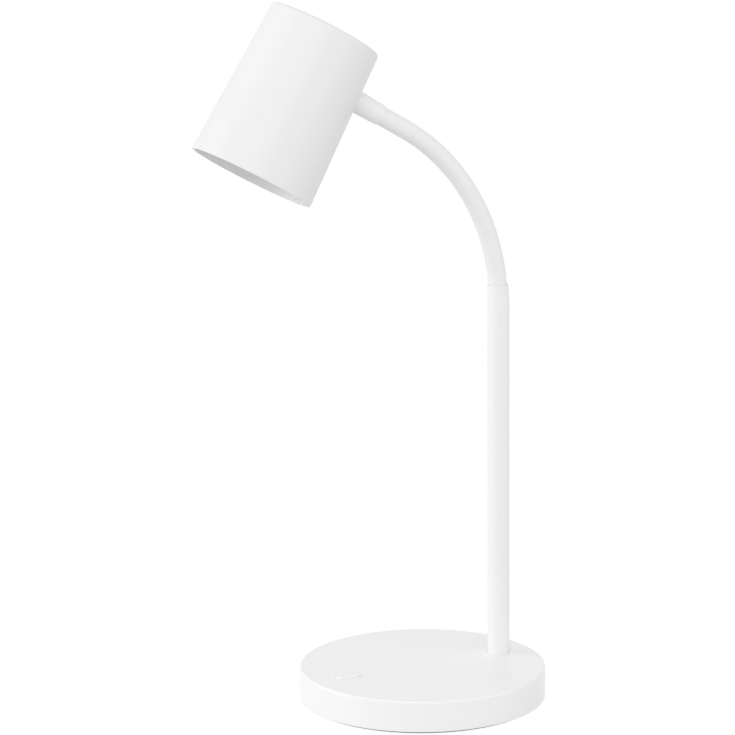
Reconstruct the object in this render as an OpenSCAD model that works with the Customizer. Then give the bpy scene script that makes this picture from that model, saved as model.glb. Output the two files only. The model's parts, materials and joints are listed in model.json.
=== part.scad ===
// Desk lamp: a round weighted base, an upright pole, a flexible neck and a can-shaped shade.
// Millimetres. Origin at the centre of the foot pad's underside, +Z up. The lamp's plane of
// symmetry is X = 0: the key and the shade are towards -Y, the pole and the inlet towards +Y.
// The flexible neck is built as short rigid lengths with a ball seat between each two.

/* [Base] */
// Radius of the round base cover
base_r = 75; // [72:0.5:80]
// Height of the base cover's side
cover_h = 19.05; // [19.05:0.05:24]
// Thickness of the base cover's side wall
cover_wall = 2.2; // [1.8:0.1:2.6]
// Thickness of the base cover's top wall
cover_top_t = 2.5; // [2:0.1:3]
// Rounding of the base cover's top edge
cover_edge_r = 1.2; // [0.6:0.1:2]
// Rounding of the base cover's lower edge
cover_foot_edge_r = 0.4; // [0.2:0.1:0.8]
// Shadow gap between the table and the base cover
reveal_h = 1.25; // [0.8:0.05:1.6]
// Thickness of the soft foot pad
pad_t = 2; // [1.7:0.1:2.2]
// Thickness of the steel bottom plate
plate_t = 1.5; // [1.2:0.1:1.8]
// Thickness of the cast ballast
ballast_t = 11; // [10.5:0.1:11.2]
// Gap all round between the ballast and the cover's side wall
ballast_gap = 3.8; // [3:0.1:5]
// Distance from the cover's inner wall to the centre of a screw boss
boss_inset = 16.5; // [15:0.5:18]
// Radius of the lower part of a screw boss, inside the ballast
boss_r = 3.6; // [3.2:0.1:4]
// Radius of the upper part of a screw boss, on top of the ballast
boss_shoulder_r = 6; // [5:0.5:7]
// Number of screws that hold the bottom plate
plate_screw_count = 4; // [4:4:4]
// Shank radius of a bottom plate screw
plate_screw_r = 1.5; // [1.3:0.1:1.6]
// Head radius of a bottom plate screw
plate_screw_head_r = 2.8; // [2.6:0.1:3]
// Length of a bottom plate screw
plate_screw_len = 12; // [8:0.5:13]

/* [Key] */
// Distance from the base's centre to the key's centre
key_off = 51; // [48:0.5:53]
// Length of the raised key
key_len = 16; // [12:0.5:18]
// Width of the key's body
key_w = 5.2; // [4.4:0.2:6]
// Height of the key above the base
key_proud = 1.2; // [0.8:0.1:1.6]
// How far the key travels when pressed
key_travel = 0.6; // [0.3:0.1:0.7]
// Thickness of the key's retaining flange
key_flange_t = 1.4; // [1:0.1:1.6]
// Overhang of the key's retaining flange round its body
key_flange_lip = 1.6; // [1:0.1:2]
// Radius of the key's stem
key_stem_r = 1.6; // [1.2:0.1:2]

/* [Control board] */
// Width of the control board
board_w = 44; // [42:1:46]
// Depth of the control board, front to back
board_d = 30; // [29:0.5:31]
// Thickness of both circuit boards
board_t = 1.6; // [1.2:0.1:1.6]
// How far the board's centre lies behind the key's centre
board_back = 5; // [4:0.5:6]
// Distance from the board's edges to a board screw
board_screw_inset = 3.5; // [3:0.1:4]
// Shank radius of a board screw
board_screw_r = 1.2; // [1:0.1:1.3]
// Head radius of a board screw
board_screw_head_r = 2.2; // [2:0.1:2.4]
// Radius of a board boss
board_boss_r = 2.8; // [2.6:0.1:3]
// Side of the tactile switch
switch_w = 6; // [5.5:0.1:6.5]
// Height of the tactile switch's body
switch_h = 3.5; // [3.3:0.1:3.6]
// Radius of the tactile switch's plunger
plunger_r = 1.75; // [1.5:0.05:1.9]
// Height of the plunger above the switch's body
plunger_out = 0.8; // [0.8:0.05:0.9]
// Width of a lead's plug
plug_w = 7; // [6:0.5:8]
// Length of a lead's plug
plug_l = 6; // [5:0.5:7]
// Radius of the leads
lead_r = 1.3; // [1.1:0.05:1.4]

/* [Power inlet] */
// Width of the inlet's shell
inlet_w = 8.94; // [8.94:0.01:9.04]
// Height of the inlet's shell
inlet_h = 3.16; // [3.16:0.01:3.26]
// Depth of the inlet's shell
inlet_l = 7.35; // [7.1:0.05:7.5]
// Thickness of the inlet's shell
inlet_wall = 0.3; // [0.25:0.05:0.35]
// Depth that a plug enters the inlet
inlet_depth = 6.2; // [6:0.1:6.3]
// How far the inlet's mouth lies behind the base's side
inlet_setback = 0.3; // [0.2:0.05:0.5]
// Width of the inlet's circuit board
inlet_board_w = 18; // [17:0.5:19]

/* [Pole] */
// Distance from the base's centre to the pole's axis
pole_off = 53.4; // [52:0.2:54]
// Outer radius of the pole
pole_r = 6.75; // [6.5:0.05:6.9]
// Wall of the pole
pole_wall = 1; // [0.8:0.05:1.2]
// Height of the pole's top above the table
pole_top_z = 238.6; // [180:0.2:300]
// Radius of the collar that rests on the ballast
collar_r = 9.5; // [8.5:0.1:10]
// Thickness of that collar
collar_t = 2; // [1.5:0.1:2.5]
// Radius of the washer under the ballast
washer_r = 10.2; // [10:0.1:10.4]
// Thickness of the washer under the ballast
washer_t = 1; // [0.8:0.1:1.2]
// Width across corners of the pole's nut, halved
nut_corner_r = 9.8; // [9.2:0.1:9.9]
// Thickness of the pole's nut
nut_t = 3.6; // [3.2:0.1:3.8]
// Thickness of the ballast between the collar and the washer
ballast_web = 3; // [2.6:0.1:3.2]
// Height of the bush in the pole's top
bush_h = 16; // [12:0.5:20]

/* [Neck] */
// Outer radius of the neck's soft sleeve
neck_r = 5.7; // [5.5:0.05:5.9]
// Outer radius of the steel hose in the sleeve
hose_r = 4.3; // [4.1:0.05:4.4]
// Inner radius of the steel hose
hose_bore_r = 1.9; // [1.8:0.05:2]
// Distance between two bending places
seg_len = 16.85; // [15.5:0.05:19]
// Bend at each bending place as photographed, in degrees
bend = 7.4; // [4:0.1:10]
// Distance from the last bending place to the shade's axis
end_len = 85.4; // [80:0.2:95]
// Height of the neck root's collar, from the pole's top to the first bending place
root_collar_h = 10; // [8:0.5:12]
// Radius of that collar at its top, and of the balls in the neck
root_top_r = 6.4; // [6.2:0.05:6.6]
// Radius of the neck root's stem, turning in the bush
root_stem_r = 3.95; // [3.8:0.05:4.05]
// Thickness of the two retaining clips
clip_t = 0.8; // [0.6:0.1:1]
// How deep the retaining clips sit in their grooves
clip_groove = 0.8; // [0.6:0.05:0.9]
// How far the retaining clips stand out of their grooves
clip_lip = 1.1; // [0.9:0.05:1.2]

/* [Shade] */
// Outer radius of the shade at its mouth
mouth_r = 38.4; // [37.5:0.1:42]
// Outer radius of the shade at its closed end
top_r = 34.6; // [34:0.1:38]
// Length of the shade
shade_h = 97.2; // [92:0.2:110]
// Wall of the shade
shade_wall = 1.6; // [1.4:0.1:2]
// Thickness of the shade's closed end
shade_top_t = 2; // [1.6:0.1:2.4]
// Rounding of the shade's closed end
shade_edge_r = 2; // [1:0.1:2.4]
// Distance from the mouth to the neck's axis
neck_seat = 69; // [66:0.2:72]
// Length of the collar outside the shade
ferrule_len = 21.6; // [16:0.2:26]
// Radius of the collar where it meets the shade
ferrule_r = 6.85; // [6.6:0.05:7.2]
// Radius of the collar where the neck goes into it
ferrule_end_r = 6.3; // [6.1:0.05:6.6]
// Radius of the collar's threaded end, through the shade's wall
ferrule_thread_r = 5.2; // [5:0.05:5.3]
// Radius of the neck tip's stem, turning in the collar
tip_stem_r = 3.5; // [3.4:0.05:3.6]
// Length of the neck tip inside the sleeve
tip_grip_len = 12; // [8:0.5:16]
// Radius of the flat pad inside the shade
seat_pad_r = 9.5; // [9:0.1:10]
// Depth of the flat pad, measured from the shade's inner wall
seat_pad_t = 2.5; // [2.2:0.1:3]
// Width across corners of the collar's nut, halved
ferrule_nut_r = 8.1; // [7.8:0.1:8.4]
// Thickness of the collar's nut
ferrule_nut_t = 3.5; // [3:0.1:4]

/* [Light] */
// Depth from the mouth to the diffuser's ring
recess = 18.7; // [10:0.1:20]
// Height of the ring that holds the diffuser
ring_h = 3.5; // [2.5:0.1:4]
// Width of that ring
ring_w = 3; // [2.5:0.1:4]
// Thickness of the diffuser
diffuser_t = 2; // [1.6:0.1:2.4]
// Height of the reflector
reflector_h = 20.8; // [18:0.1:21]
// Wall of the reflector
reflector_wall = 1.4; // [1.2:0.1:1.8]
// Radius of the LED board
led_board_r = 24; // [23.4:0.1:25]
// Thickness of the LED board
led_board_t = 1.6; // [1.2:0.1:1.8]
// Side of an LED
led_w = 2.8; // [2:0.1:3]
// Height of an LED
led_h = 0.7; // [0.5:0.1:0.9]
// Radius of the ring of LEDs
led_ring_r = 14.5; // [13:0.5:15]
// Number of LEDs in the ring
led_count = 12; // [8:1:14]
// Radius of the circle of the LED board's screws
led_screw_off = 20; // [19.5:0.1:20.2]
// Thickness of the heat sink's plate
sink_t = 4; // [3:0.1:4.5]
// Height of the heat sink's fins
fin_h = 8; // [4:0.5:8.5]
// Thickness of a fin
fin_t = 1.6; // [1:0.1:2]
// Distance from fin to fin
fin_pitch = 5; // [4:0.5:7]
// Number of fins
fin_count = 7; // [3:2:7]
// Height of the shoulder above the heat sink
shoulder_h = 3; // [2:0.1:4]
// Width of the shoulder above the heat sink
shoulder_w = 2; // [1.5:0.1:2.5]

/* [Fits] */
// Radial clearance of the turning fits
turn_fit = 0.05; // [0.03:0.01:0.08]
// Radial gap between a ball and its seat in the neck
ball_gap = 0.15; // [0.1:0.01:0.2]
// Radial clearance of a thread, a pressed piece or a seated piece
seat_fit = 0.05; // [0.02:0.01:0.1]
// Clearance round the key
key_gap = 0.15; // [0.1:0.01:0.25]
// Radial clearance of a screw, tube or boss in its hole
hole_gap = 0.25; // [0.15:0.05:0.4]
// Clearance between a sheet or disc and the wall round it
rim_gap = 0.3; // [0.2:0.05:0.5]

/* [Hidden] */
$fn = 96;
over = 1;                      // how far a cutting shape runs past a face
bends = 8;                     // number of bending places in the neck
hole_over = 0.3;               // how far a blind hole runs past its screw

// Heights in the base
plate_z = pad_t;
ballast_z = plate_z + plate_t;
ballast_top_z = ballast_z + ballast_t;
base_top_z = reveal_h + cover_h;
ceiling_z = base_top_z - cover_top_t;
inner_r = base_r - cover_wall;
plate_r = inner_r - rim_gap;
pad_r = plate_r - 0.3;
ballast_r = inner_r - ballast_gap;
boss_off = inner_r - boss_inset;

// The leads in the base run in grooves on the bottom plate
lead_clear = 0.15;
lead_z = ballast_z + lead_clear + lead_r;
lead_turn_r = lead_r + 1.7;    // middle radius of the pole lead's elbow
groove_r = lead_r + 0.9;

// The key, and under it the switch on its board
key_r = key_w / 2;
key_axis_z = base_top_z + key_proud - key_r;
key_half = key_len / 2 - key_r;
key_flange_z = ceiling_z - seat_fit - key_flange_t;
board_y = -key_off + board_back;
key_stem_len = 1.4;            // from the key's flange down to the plunger
plunger_gap = 0.05;
plunger_sunk = 1.8;            // length of the plunger inside the switch
plunger_top_z = key_flange_z - key_stem_len - plunger_gap;
switch_top_z = plunger_top_z - plunger_out;
plunger_z = switch_top_z - plunger_sunk;
dome_spare = 0.5;              // height left in the dome when the key is down
dome_h = key_travel + dome_spare;
dome_z = plunger_z - dome_h;
dome_rim_r = plunger_r - 0.1;
board_top_z = switch_top_z - switch_h;
board_z = board_top_z - board_t;
window_gap = 2;                // between the control board and the ballast
board_screw_head_h = 1.6;
board_screw_len = 6;
plug_z = ballast_z + lead_clear;
plug_inset = 0.5;              // from the control board's rear edge to a plug
plug_back_y = board_y + board_d / 2 - plug_inset;

// The largest pieces on the control board: their sizes, and their places from its centre
chip_size = [6, 5, 1.2];
chip_at = [-13, 4, 0];
coil_size = [7, 7, 3];
coil_at = [8, 3, 0];
cap_r = 2.5;
cap_h = 4;
cap_at = [12, -3, 0];

// The inlet, on its own board in the cover's rear
inlet_front_y = base_r - inlet_setback;
inlet_back_y = inlet_front_y - inlet_l;
inlet_board_z = lead_z + lead_r + seat_fit;
inlet_board_lip = 0.9;         // how far the board reaches past the shell's back
inlet_board_back_y = inlet_back_y - inlet_board_lip;
inlet_board_front_y = sqrt(inner_r * inner_r - inlet_board_w * inlet_board_w / 4) - rim_gap;
inlet_z = inlet_board_z + board_t + inlet_h / 2;
cradle_w = 3.5;
cradle_grip = 1;               // how far a cradle reaches over the board's edge
cradle_drop = 1.6;             // how far a cradle reaches below the board
notch_gap = 1;                 // between the cradles and the ballast
notch_back_gap = 0.5;          // between the inlet's board and the ballast
inlet_solder = 3;              // length of lead under the inlet's board
tongue_w = 6.69;
tongue_t = 0.7;
tongue_l = 4.45;
tongue_root = 0.1;             // how far the tongue is sunk in the shell's back wall

// The pole's foot
washer_z = ballast_top_z - ballast_web - washer_t;
nut_z = washer_z - nut_t;
pole_foot_z = nut_z - 0.3;     // the pole stands a little out of its nut
recess_gap = 0.6;              // between the washer and the recess in the ballast
recess_r = washer_r + recess_gap;
pole_bore_r = pole_r - pole_wall;
// the inlet's lead jogs sideways behind the pole's nut
inlet_lead_x = 5.6;
lane_x = recess_r + lead_r + rim_gap;
jog_r = (lane_x - inlet_lead_x) / 2;
jog_y = pole_off + recess_r + 1.2;

// The neck's bending places lie on one chain from the pole's top
ball_r = root_top_r;
seat_r = ball_r + ball_gap;
hinge0_z = pole_top_z + root_collar_h;
neck_angle = bends * bend;
function hinge_y(k) = k == 0 ? pole_off : hinge_y(k - 1) - seg_len * sin(k * bend);
function hinge_z(k) = k == 0 ? hinge0_z : hinge_z(k - 1) + seg_len * cos(k * bend);
head_y = hinge_y(bends - 1) - end_len * sin(neck_angle);
head_z = hinge_z(bends - 1) + end_len * cos(neck_angle);
root_clip_z = pole_top_z - bush_h - clip_t;
root_stem_end_z = root_clip_z - 1.5;
clip_mouth = 0.6;              // half the width of a clip's mouth, as a share of its stem

// Along the last straight length, from its bending place
ferrule_z = end_len - shade_r(0) - ferrule_len;
tip_z = ferrule_z - tip_grip_len;
seat_y = shade_r(0) - shade_wall - seat_pad_t;
thread_out = 0.5;              // how far the collar's thread runs past its nut
ferrule_end_y = seat_y - ferrule_nut_t - thread_out;
tip_clip_y = ferrule_end_y - clip_t;
tip_end_y = tip_clip_y - 1;
lead_join = 0.2;               // gap at the lead's turning joint

// Heights in the shade, from the neck's axis, positive towards its closed end
mouth_z = -neck_seat;
lip_r = 0.4;
ring_z = mouth_z + recess;
diffuser_z = ring_z + ring_h;
reflector_z = diffuser_z + diffuser_t;
sink_z = reflector_z + reflector_h;
led_z = sink_z - led_board_t;
shoulder_z = sink_z + sink_t;
led_screw_r = 1.25;
led_screw_head_r = 2.2;
led_screw_head_h = 1.6;
led_screw_end = 0.8;           // from an LED screw's end to the top of the heat sink's plate
led_hole_end = 0.5;            // from its hole's end to the same
head_lead_turn_r = 3;
head_lead_y = tip_end_y - head_lead_turn_r - 1.7;
fin_reach_r = 27;              // radius that the fins stay in
fin_lead_gap = 4;              // between the fins and the lead's axis
led_inner_count = 6;

// The reflector, inside the LED board's rim and behind the diffuser
reflector_rim_r = shade_r(reflector_z) - shade_wall - rim_gap / 2;
reflector_wide_r = reflector_rim_r - reflector_wall - 0.4;
reflector_narrow_r = led_board_r + 0.5;

// Outer radius of the shade at a height measured from the neck's axis
function shade_r(z) = mouth_r + (top_r - mouth_r) * (z + neck_seat) / shade_h;

// Points of a circular arc in the plane
function arc(cx, cy, r, a0, a1, n = 8) =
    [for (i = [0 : n]) let (a = a0 + (a1 - a0) * i / n) [cx + r * cos(a), cy + r * sin(a)]];

// A slot-shaped prism along Z, with its straight part along Y
module pill(half, r, h) {
    translate([-r, -half, 0]) cube([2 * r, 2 * half, h]);
    for (s = [-1, 1]) translate([0, s * half, 0]) cylinder(r = r, h = h);
}

// The same prism lying along Y, wide in X, from y = 0 towards +Y
module flat_pill(w, h, l) {
    translate([-(w - h) / 2, 0, -h / 2]) cube([w - h, l, h]);
    for (s = [-1, 1]) translate([s * (w - h) / 2, 0, 0]) rotate([-90, 0, 0])
        cylinder(r = h / 2, h = l);
}

// A straight rod along Y, from y0 to y1
module rod(x, y0, y1, z, r) {
    translate([x, y0, z]) rotate([-90, 0, 0]) cylinder(r = r, h = y1 - y0);
}

// A quarter turn of a rod in a horizontal plane, starting a degrees from +X
module bend_flat(a, turn_r, r) {
    rotate(a) rotate_extrude(angle = 90) translate([turn_r, 0]) circle(r = r);
}

// Places its children at each screw boss of the base
module at_bosses() {
    for (i = [0 : plate_screw_count - 1]) rotate(45 + i * 360 / plate_screw_count)
        translate([boss_off, 0, 0]) children();
}

// Places its children at each screw of the control board
module at_board_screws() {
    for (sx = [-1, 1], sy = [-1, 1]) translate([0, board_y, 0])
        translate([sx * (board_w / 2 - board_screw_inset), sy * (board_d / 2 - board_screw_inset), 0])
            children();
}

module at_pole() { translate([0, pole_off, 0]) children(); }

module at_key() { translate([0, -key_off, 0]) children(); }

// Places its children at length k of the neck, with +Z along it
module at_neck(k) {
    translate([0, hinge_y(k - 1), hinge_z(k - 1)]) rotate([k * bend, 0, 0]) children();
}

// Places its children in the shade: +Z towards its closed end, the neck coming in from +Y
module at_head() { translate([0, head_y, head_z]) rotate([neck_angle - 90, 0, 0]) children(); }

// ---------- Base ----------

module foot_pad() {
    color([0.16, 0.16, 0.17]) cylinder(r = pad_r, h = pad_t);
}

module bottom_plate() {
    color([0.72, 0.73, 0.74]) difference() {
        translate([0, 0, plate_z]) cylinder(r = plate_r, h = plate_t);
        at_bosses() {
            translate([0, 0, plate_z - over])
                cylinder(r = plate_screw_r + hole_gap, h = plate_t + 2 * over);
            translate([0, 0, plate_z])
                cylinder(r1 = plate_screw_head_r + hole_gap, r2 = plate_screw_r + hole_gap,
                    h = plate_t);
        }
    }
}

module plate_screws() {
    color([0.55, 0.56, 0.58]) at_bosses() translate([0, 0, plate_z]) {
        cylinder(r1 = plate_screw_head_r, r2 = plate_screw_r, h = plate_t);
        cylinder(r = plate_screw_r, h = plate_screw_len);
    }
}

// The inlet's lead: back from the inlet's board, round the pole's nut and on to the control board
module inlet_route(r) {
    rod(-inlet_lead_x, jog_y, inlet_board_back_y + inlet_solder, lead_z, r);
    translate([-inlet_lead_x - jog_r, jog_y, lead_z]) bend_flat(-90, jog_r, r);
    translate([-inlet_lead_x - jog_r, jog_y - 2 * jog_r, lead_z]) bend_flat(90, jog_r, r);
    rod(-lane_x, plug_back_y, jog_y - 2 * jog_r, lead_z, r);
}

module ballast() {
    color([0.28, 0.28, 0.30]) difference() {
        translate([0, 0, ballast_z]) cylinder(r = ballast_r, h = ballast_t);
        at_bosses() translate([0, 0, ballast_z - over])
            cylinder(r = boss_r + hole_gap, h = ballast_t + 2 * over);
        // room for the control board, open to the front
        translate([-board_w / 2 - window_gap, -base_r, ballast_z - over])
            cube([board_w + 2 * window_gap, base_r + board_y + board_d / 2 + window_gap,
                ballast_t + 2 * over]);
        // the pole's hole, with its nut's recess underneath
        at_pole() translate([0, 0, ballast_z - over]) {
            cylinder(r = pole_r + hole_gap, h = ballast_t + 2 * over);
            cylinder(r = recess_r, h = washer_z + washer_t - ballast_z + over);
        }
        // room for the inlet's board
        translate([-inlet_board_w / 2 - cradle_w - notch_gap, inlet_board_back_y - notch_back_gap,
            ballast_z - over])
            cube([inlet_board_w + 2 * cradle_w + 2 * notch_gap, base_r, ballast_t + 2 * over]);
        // grooves for the two leads
        rod(0, board_y, pole_off, lead_z, groove_r);
        inlet_route(groove_r);
    }
}

// Half section of the base cover's outside
function cover_section() = concat(
    [[0, reveal_h]],
    arc(base_r - cover_foot_edge_r, reveal_h + cover_foot_edge_r, cover_foot_edge_r, -90, 0),
    arc(base_r - cover_edge_r, base_top_z - cover_edge_r, cover_edge_r, 0, 90),
    [[0, base_top_z]]);

module base_cover() {
    color([0.94, 0.94, 0.93]) difference() {
        union() {
            difference() {
                rotate_extrude() polygon(cover_section());
                cylinder(r = inner_r, h = ceiling_z);
            }
            at_bosses() {
                translate([0, 0, ballast_z]) cylinder(r = boss_r, h = ceiling_z - ballast_z + over);
                translate([0, 0, ballast_top_z])
                    cylinder(r = boss_shoulder_r, h = ceiling_z - ballast_top_z + over);
            }
            at_board_screws() translate([0, 0, board_top_z])
                cylinder(r = board_boss_r, h = ceiling_z - board_top_z + over);
            inlet_cradle();
        }
        at_bosses() translate([0, 0, ballast_z - over])
            cylinder(r = plate_screw_r + seat_fit,
                h = plate_z + plate_screw_len + hole_over - ballast_z + over);
        at_board_screws() translate([0, 0, board_top_z - over])
            cylinder(r = board_screw_r + seat_fit, h = board_screw_len - board_t + hole_over + over);
        at_pole() translate([0, 0, ballast_z]) cylinder(r = pole_r + hole_gap / 2, h = base_top_z);
        at_key() translate([0, 0, ceiling_z - over])
            pill(key_half, key_r + key_gap, cover_top_t + 2 * over);
        translate([0, inner_r - over, inlet_z])
            flat_pill(inlet_w + 2 * hole_gap, inlet_h + 2 * hole_gap, cover_wall + 2 * over);
    }
}

// Two grooved blocks inside the cover that hold the inlet's board by its edges
module inlet_cradle() {
    for (s = [-1, 1]) difference() {
        intersection() {
            translate([s * (inlet_board_w / 2 - cradle_grip + cradle_w / 2) - cradle_w / 2,
                inlet_board_back_y, inlet_board_z - cradle_drop])
                cube([cradle_w, base_r - inlet_board_back_y,
                    ceiling_z + over - inlet_board_z + cradle_drop]);
            cylinder(r = base_r - cover_wall / 2, h = base_top_z - cover_top_t / 2);
        }
        translate([-inlet_board_w / 2 - seat_fit, inlet_board_back_y - over, inlet_board_z - seat_fit])
            cube([inlet_board_w + 2 * seat_fit, inner_r - inlet_board_back_y + over,
                board_t + 2 * seat_fit]);
    }
}

module control_board() {
    color([0.10, 0.36, 0.22]) difference() {
        translate([-board_w / 2, board_y - board_d / 2, board_z])
            cube([board_w, board_d, board_t]);
        at_board_screws() translate([0, 0, board_z - over])
            cylinder(r = board_screw_r + seat_fit, h = board_t + 2 * over);
    }
}

// Driver chip, coil and two capacitors
module board_parts() {
    translate([0, board_y, board_top_z]) {
        color([0.12, 0.12, 0.13]) translate(chip_at) cube(chip_size);
        color([0.25, 0.25, 0.27]) translate(coil_at) cube(coil_size);
        color([0.20, 0.22, 0.30]) for (s = [0, 1]) mirror([s, 0, 0]) translate(cap_at)
            cylinder(r = cap_r, h = cap_h);
    }
}

module board_screws() {
    color([0.60, 0.61, 0.63]) at_board_screws() {
        translate([0, 0, board_z - board_screw_head_h])
            cylinder(r = board_screw_head_r, h = board_screw_head_h);
        translate([0, 0, board_z]) cylinder(r = board_screw_r, h = board_screw_len);
    }
}

// The two leads' plugs, under the control board's rear edge
module lead_plugs() {
    color([0.93, 0.92, 0.88]) for (x = [0, -lane_x])
        translate([x - plug_w / 2, plug_back_y - plug_l, plug_z]) cube([plug_w, plug_l, board_z - plug_z]);
}

module switch_body() {
    color([0.15, 0.15, 0.16]) difference() {
        at_key() translate([-switch_w / 2, -switch_w / 2, board_top_z])
            cube([switch_w, switch_w, switch_h]);
        at_key() translate([0, 0, dome_z]) cylinder(r = plunger_r + turn_fit, h = switch_top_z);
    }
}

// The domed snap disc under the plunger
module snap_dome() {
    dome_r = (dome_rim_r * dome_rim_r + dome_h * dome_h) / (2 * dome_h);
    color([0.80, 0.78, 0.70]) at_key() intersection() {
        translate([0, 0, dome_z]) cylinder(r = dome_rim_r, h = dome_h);
        translate([0, 0, plunger_z - dome_r]) sphere(r = dome_r);
    }
}

module switch_key() {
    color([0.92, 0.92, 0.91]) at_key() {
        translate([0, 0, key_flange_z]) pill(key_half, key_r, key_axis_z - key_flange_z);
        translate([0, -key_half, key_axis_z]) rotate([-90, 0, 0]) cylinder(r = key_r, h = 2 * key_half);
        for (s = [-1, 1]) translate([0, s * key_half, key_axis_z]) sphere(r = key_r);
        translate([0, 0, key_flange_z]) pill(key_half, key_r + key_flange_lip, key_flange_t);
        translate([0, 0, plunger_top_z + plunger_gap])
            cylinder(r = key_stem_r, h = key_flange_z - plunger_top_z - plunger_gap + key_flange_t / 2);
    }
}

module switch_plunger() {
    color([0.85, 0.85, 0.80]) at_key() translate([0, 0, plunger_z])
        cylinder(r = plunger_r, h = plunger_top_z - plunger_z);
}

module inlet_board() {
    color([0.10, 0.36, 0.22])
        translate([-inlet_board_w / 2, inlet_board_back_y, inlet_board_z])
            cube([inlet_board_w, inlet_board_front_y - inlet_board_back_y, board_t]);
}

module inlet_socket() {
    color([0.70, 0.71, 0.73]) translate([0, inlet_back_y, inlet_z]) {
        difference() {
            flat_pill(inlet_w, inlet_h, inlet_l);
            translate([0, inlet_l - inlet_depth, 0])
                flat_pill(inlet_w - 2 * inlet_wall, inlet_h - 2 * inlet_wall, inlet_depth + over);
        }
        translate([-tongue_w / 2, inlet_l - inlet_depth - tongue_root, -tongue_t / 2])
            cube([tongue_w, tongue_l + tongue_root, tongue_t]);
    }
}

module inlet_lead() {
    color([0.20, 0.20, 0.22]) inlet_route(lead_r);
}

// ---------- Pole ----------

module pole_tube() {
    color([0.94, 0.94, 0.93]) at_pole() difference() {
        union() {
            translate([0, 0, pole_foot_z]) cylinder(r = pole_r, h = pole_top_z - pole_foot_z);
            translate([0, 0, ballast_top_z]) cylinder(r = collar_r, h = collar_t);
        }
        translate([0, 0, pole_foot_z - over])
            cylinder(r = pole_bore_r, h = pole_top_z - pole_foot_z + 2 * over);
    }
}

module pole_washer() {
    color([0.66, 0.67, 0.69]) at_pole() translate([0, 0, washer_z]) difference() {
        cylinder(r = washer_r, h = washer_t);
        translate([0, 0, -over]) cylinder(r = pole_r + seat_fit, h = washer_t + 2 * over);
    }
}

module pole_nut() {
    color([0.62, 0.60, 0.52]) at_pole() translate([0, 0, nut_z]) difference() {
        cylinder(r = nut_corner_r, h = nut_t, $fn = 6);
        translate([0, 0, -over]) cylinder(r = pole_r + seat_fit, h = nut_t + 2 * over);
    }
}

module pole_bush() {
    color([0.90, 0.89, 0.85]) at_pole() translate([0, 0, pole_top_z - bush_h]) difference() {
        cylinder(r = pole_bore_r - seat_fit, h = bush_h);
        translate([0, 0, -over]) cylinder(r = root_stem_r + turn_fit, h = bush_h + 2 * over);
    }
}

// The lead from the control board, up the pole and through the neck's root
module pole_lead() {
    color([0.20, 0.20, 0.22]) {
        at_pole() difference() {
            translate([0, 0, lead_z + lead_turn_r])
                cylinder(r = lead_r, h = hinge0_z + ball_r - lead_z - lead_turn_r);
            difference() {
                translate([0, 0, hinge0_z]) cylinder(r = lead_r + over, h = ball_r + over);
                translate([0, 0, hinge0_z]) sphere(r = ball_r);
            }
        }
        translate([0, pole_off - lead_turn_r, lead_z + lead_turn_r]) rotate([0, 90, 0])
            bend_flat(0, lead_turn_r, lead_r);
        rod(0, plug_back_y, pole_off - lead_turn_r, lead_z, lead_r);
    }
}

// ---------- Neck ----------

// A tube from one bending place to the next, cut by the ball seat below and the ball above
module neck_length(r_out, r_in, length) {
    difference() {
        union() {
            cylinder(r = r_out, h = length);
            intersection() {
                translate([0, 0, length]) cylinder(r = r_out, h = ball_r + over);
                translate([0, 0, length]) sphere(r = ball_r);
            }
        }
        sphere(r = seat_r);
        if (r_in > 0) translate([0, 0, -over]) cylinder(r = r_in, h = length + ball_r + 2 * over);
    }
}

// The last length: the same seat below, and a flat end
module neck_end(r_out, r_in, length) {
    difference() {
        cylinder(r = r_out, h = length);
        sphere(r = seat_r);
        if (r_in > 0) translate([0, 0, -over]) cylinder(r = r_in, h = length + 2 * over);
    }
}

// One retaining clip: a split ring that sits in a groove of a stem
module clip(stem_r) {
    difference() {
        cylinder(r = stem_r + clip_lip, h = clip_t);
        translate([0, 0, -over]) cylinder(r = stem_r - clip_groove + seat_fit, h = clip_t + 2 * over);
        translate([-clip_mouth * stem_r, 0, -over])
            cube([2 * clip_mouth * stem_r, stem_r + clip_lip + over, clip_t + 2 * over]);
    }
}

// The groove that a clip sits in
module clip_cut(stem_r) {
    difference() {
        cylinder(r = stem_r + over, h = clip_t + seat_fit);
        translate([0, 0, -over]) cylinder(r = stem_r - clip_groove, h = clip_t + 2 * over);
    }
}

module neck_root() {
    color([0.94, 0.94, 0.93]) at_pole() difference() {
        union() {
            translate([0, 0, pole_top_z]) cylinder(r1 = pole_r, r2 = ball_r, h = root_collar_h);
            intersection() {
                translate([0, 0, hinge0_z]) sphere(r = ball_r);
                translate([0, 0, hinge0_z]) cylinder(r = ball_r + over, h = ball_r + over);
            }
            translate([0, 0, root_stem_end_z])
                cylinder(r = root_stem_r, h = pole_top_z - root_stem_end_z + root_collar_h / 2);
        }
        translate([0, 0, root_clip_z - seat_fit]) clip_cut(root_stem_r);
        translate([0, 0, root_stem_end_z - over])
            cylinder(r = hose_bore_r, h = hinge0_z + ball_r + 2 * over - root_stem_end_z);
    }
}

module root_clip() {
    color([0.45, 0.45, 0.47]) at_pole() translate([0, 0, root_clip_z]) clip(root_stem_r);
}

module neck_sleeve(k) {
    color([0.95, 0.95, 0.94]) at_neck(k) {
        if (k < bends) neck_length(neck_r, hose_r + seat_fit, seg_len);
        else neck_end(neck_r, hose_r + seat_fit, ferrule_z - seat_fit);
    }
}

module neck_hose(k) {
    color([0.58, 0.59, 0.61]) at_neck(k) {
        if (k < bends) neck_length(hose_r, hose_bore_r, seg_len);
        else neck_end(hose_r, hose_bore_r, tip_z);
    }
}

module neck_lead(k) {
    color([0.20, 0.20, 0.22]) at_neck(k) {
        if (k < bends) neck_length(lead_r, 0, seg_len);
        else neck_end(lead_r, 0, end_len - tip_end_y);
    }
}

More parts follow.
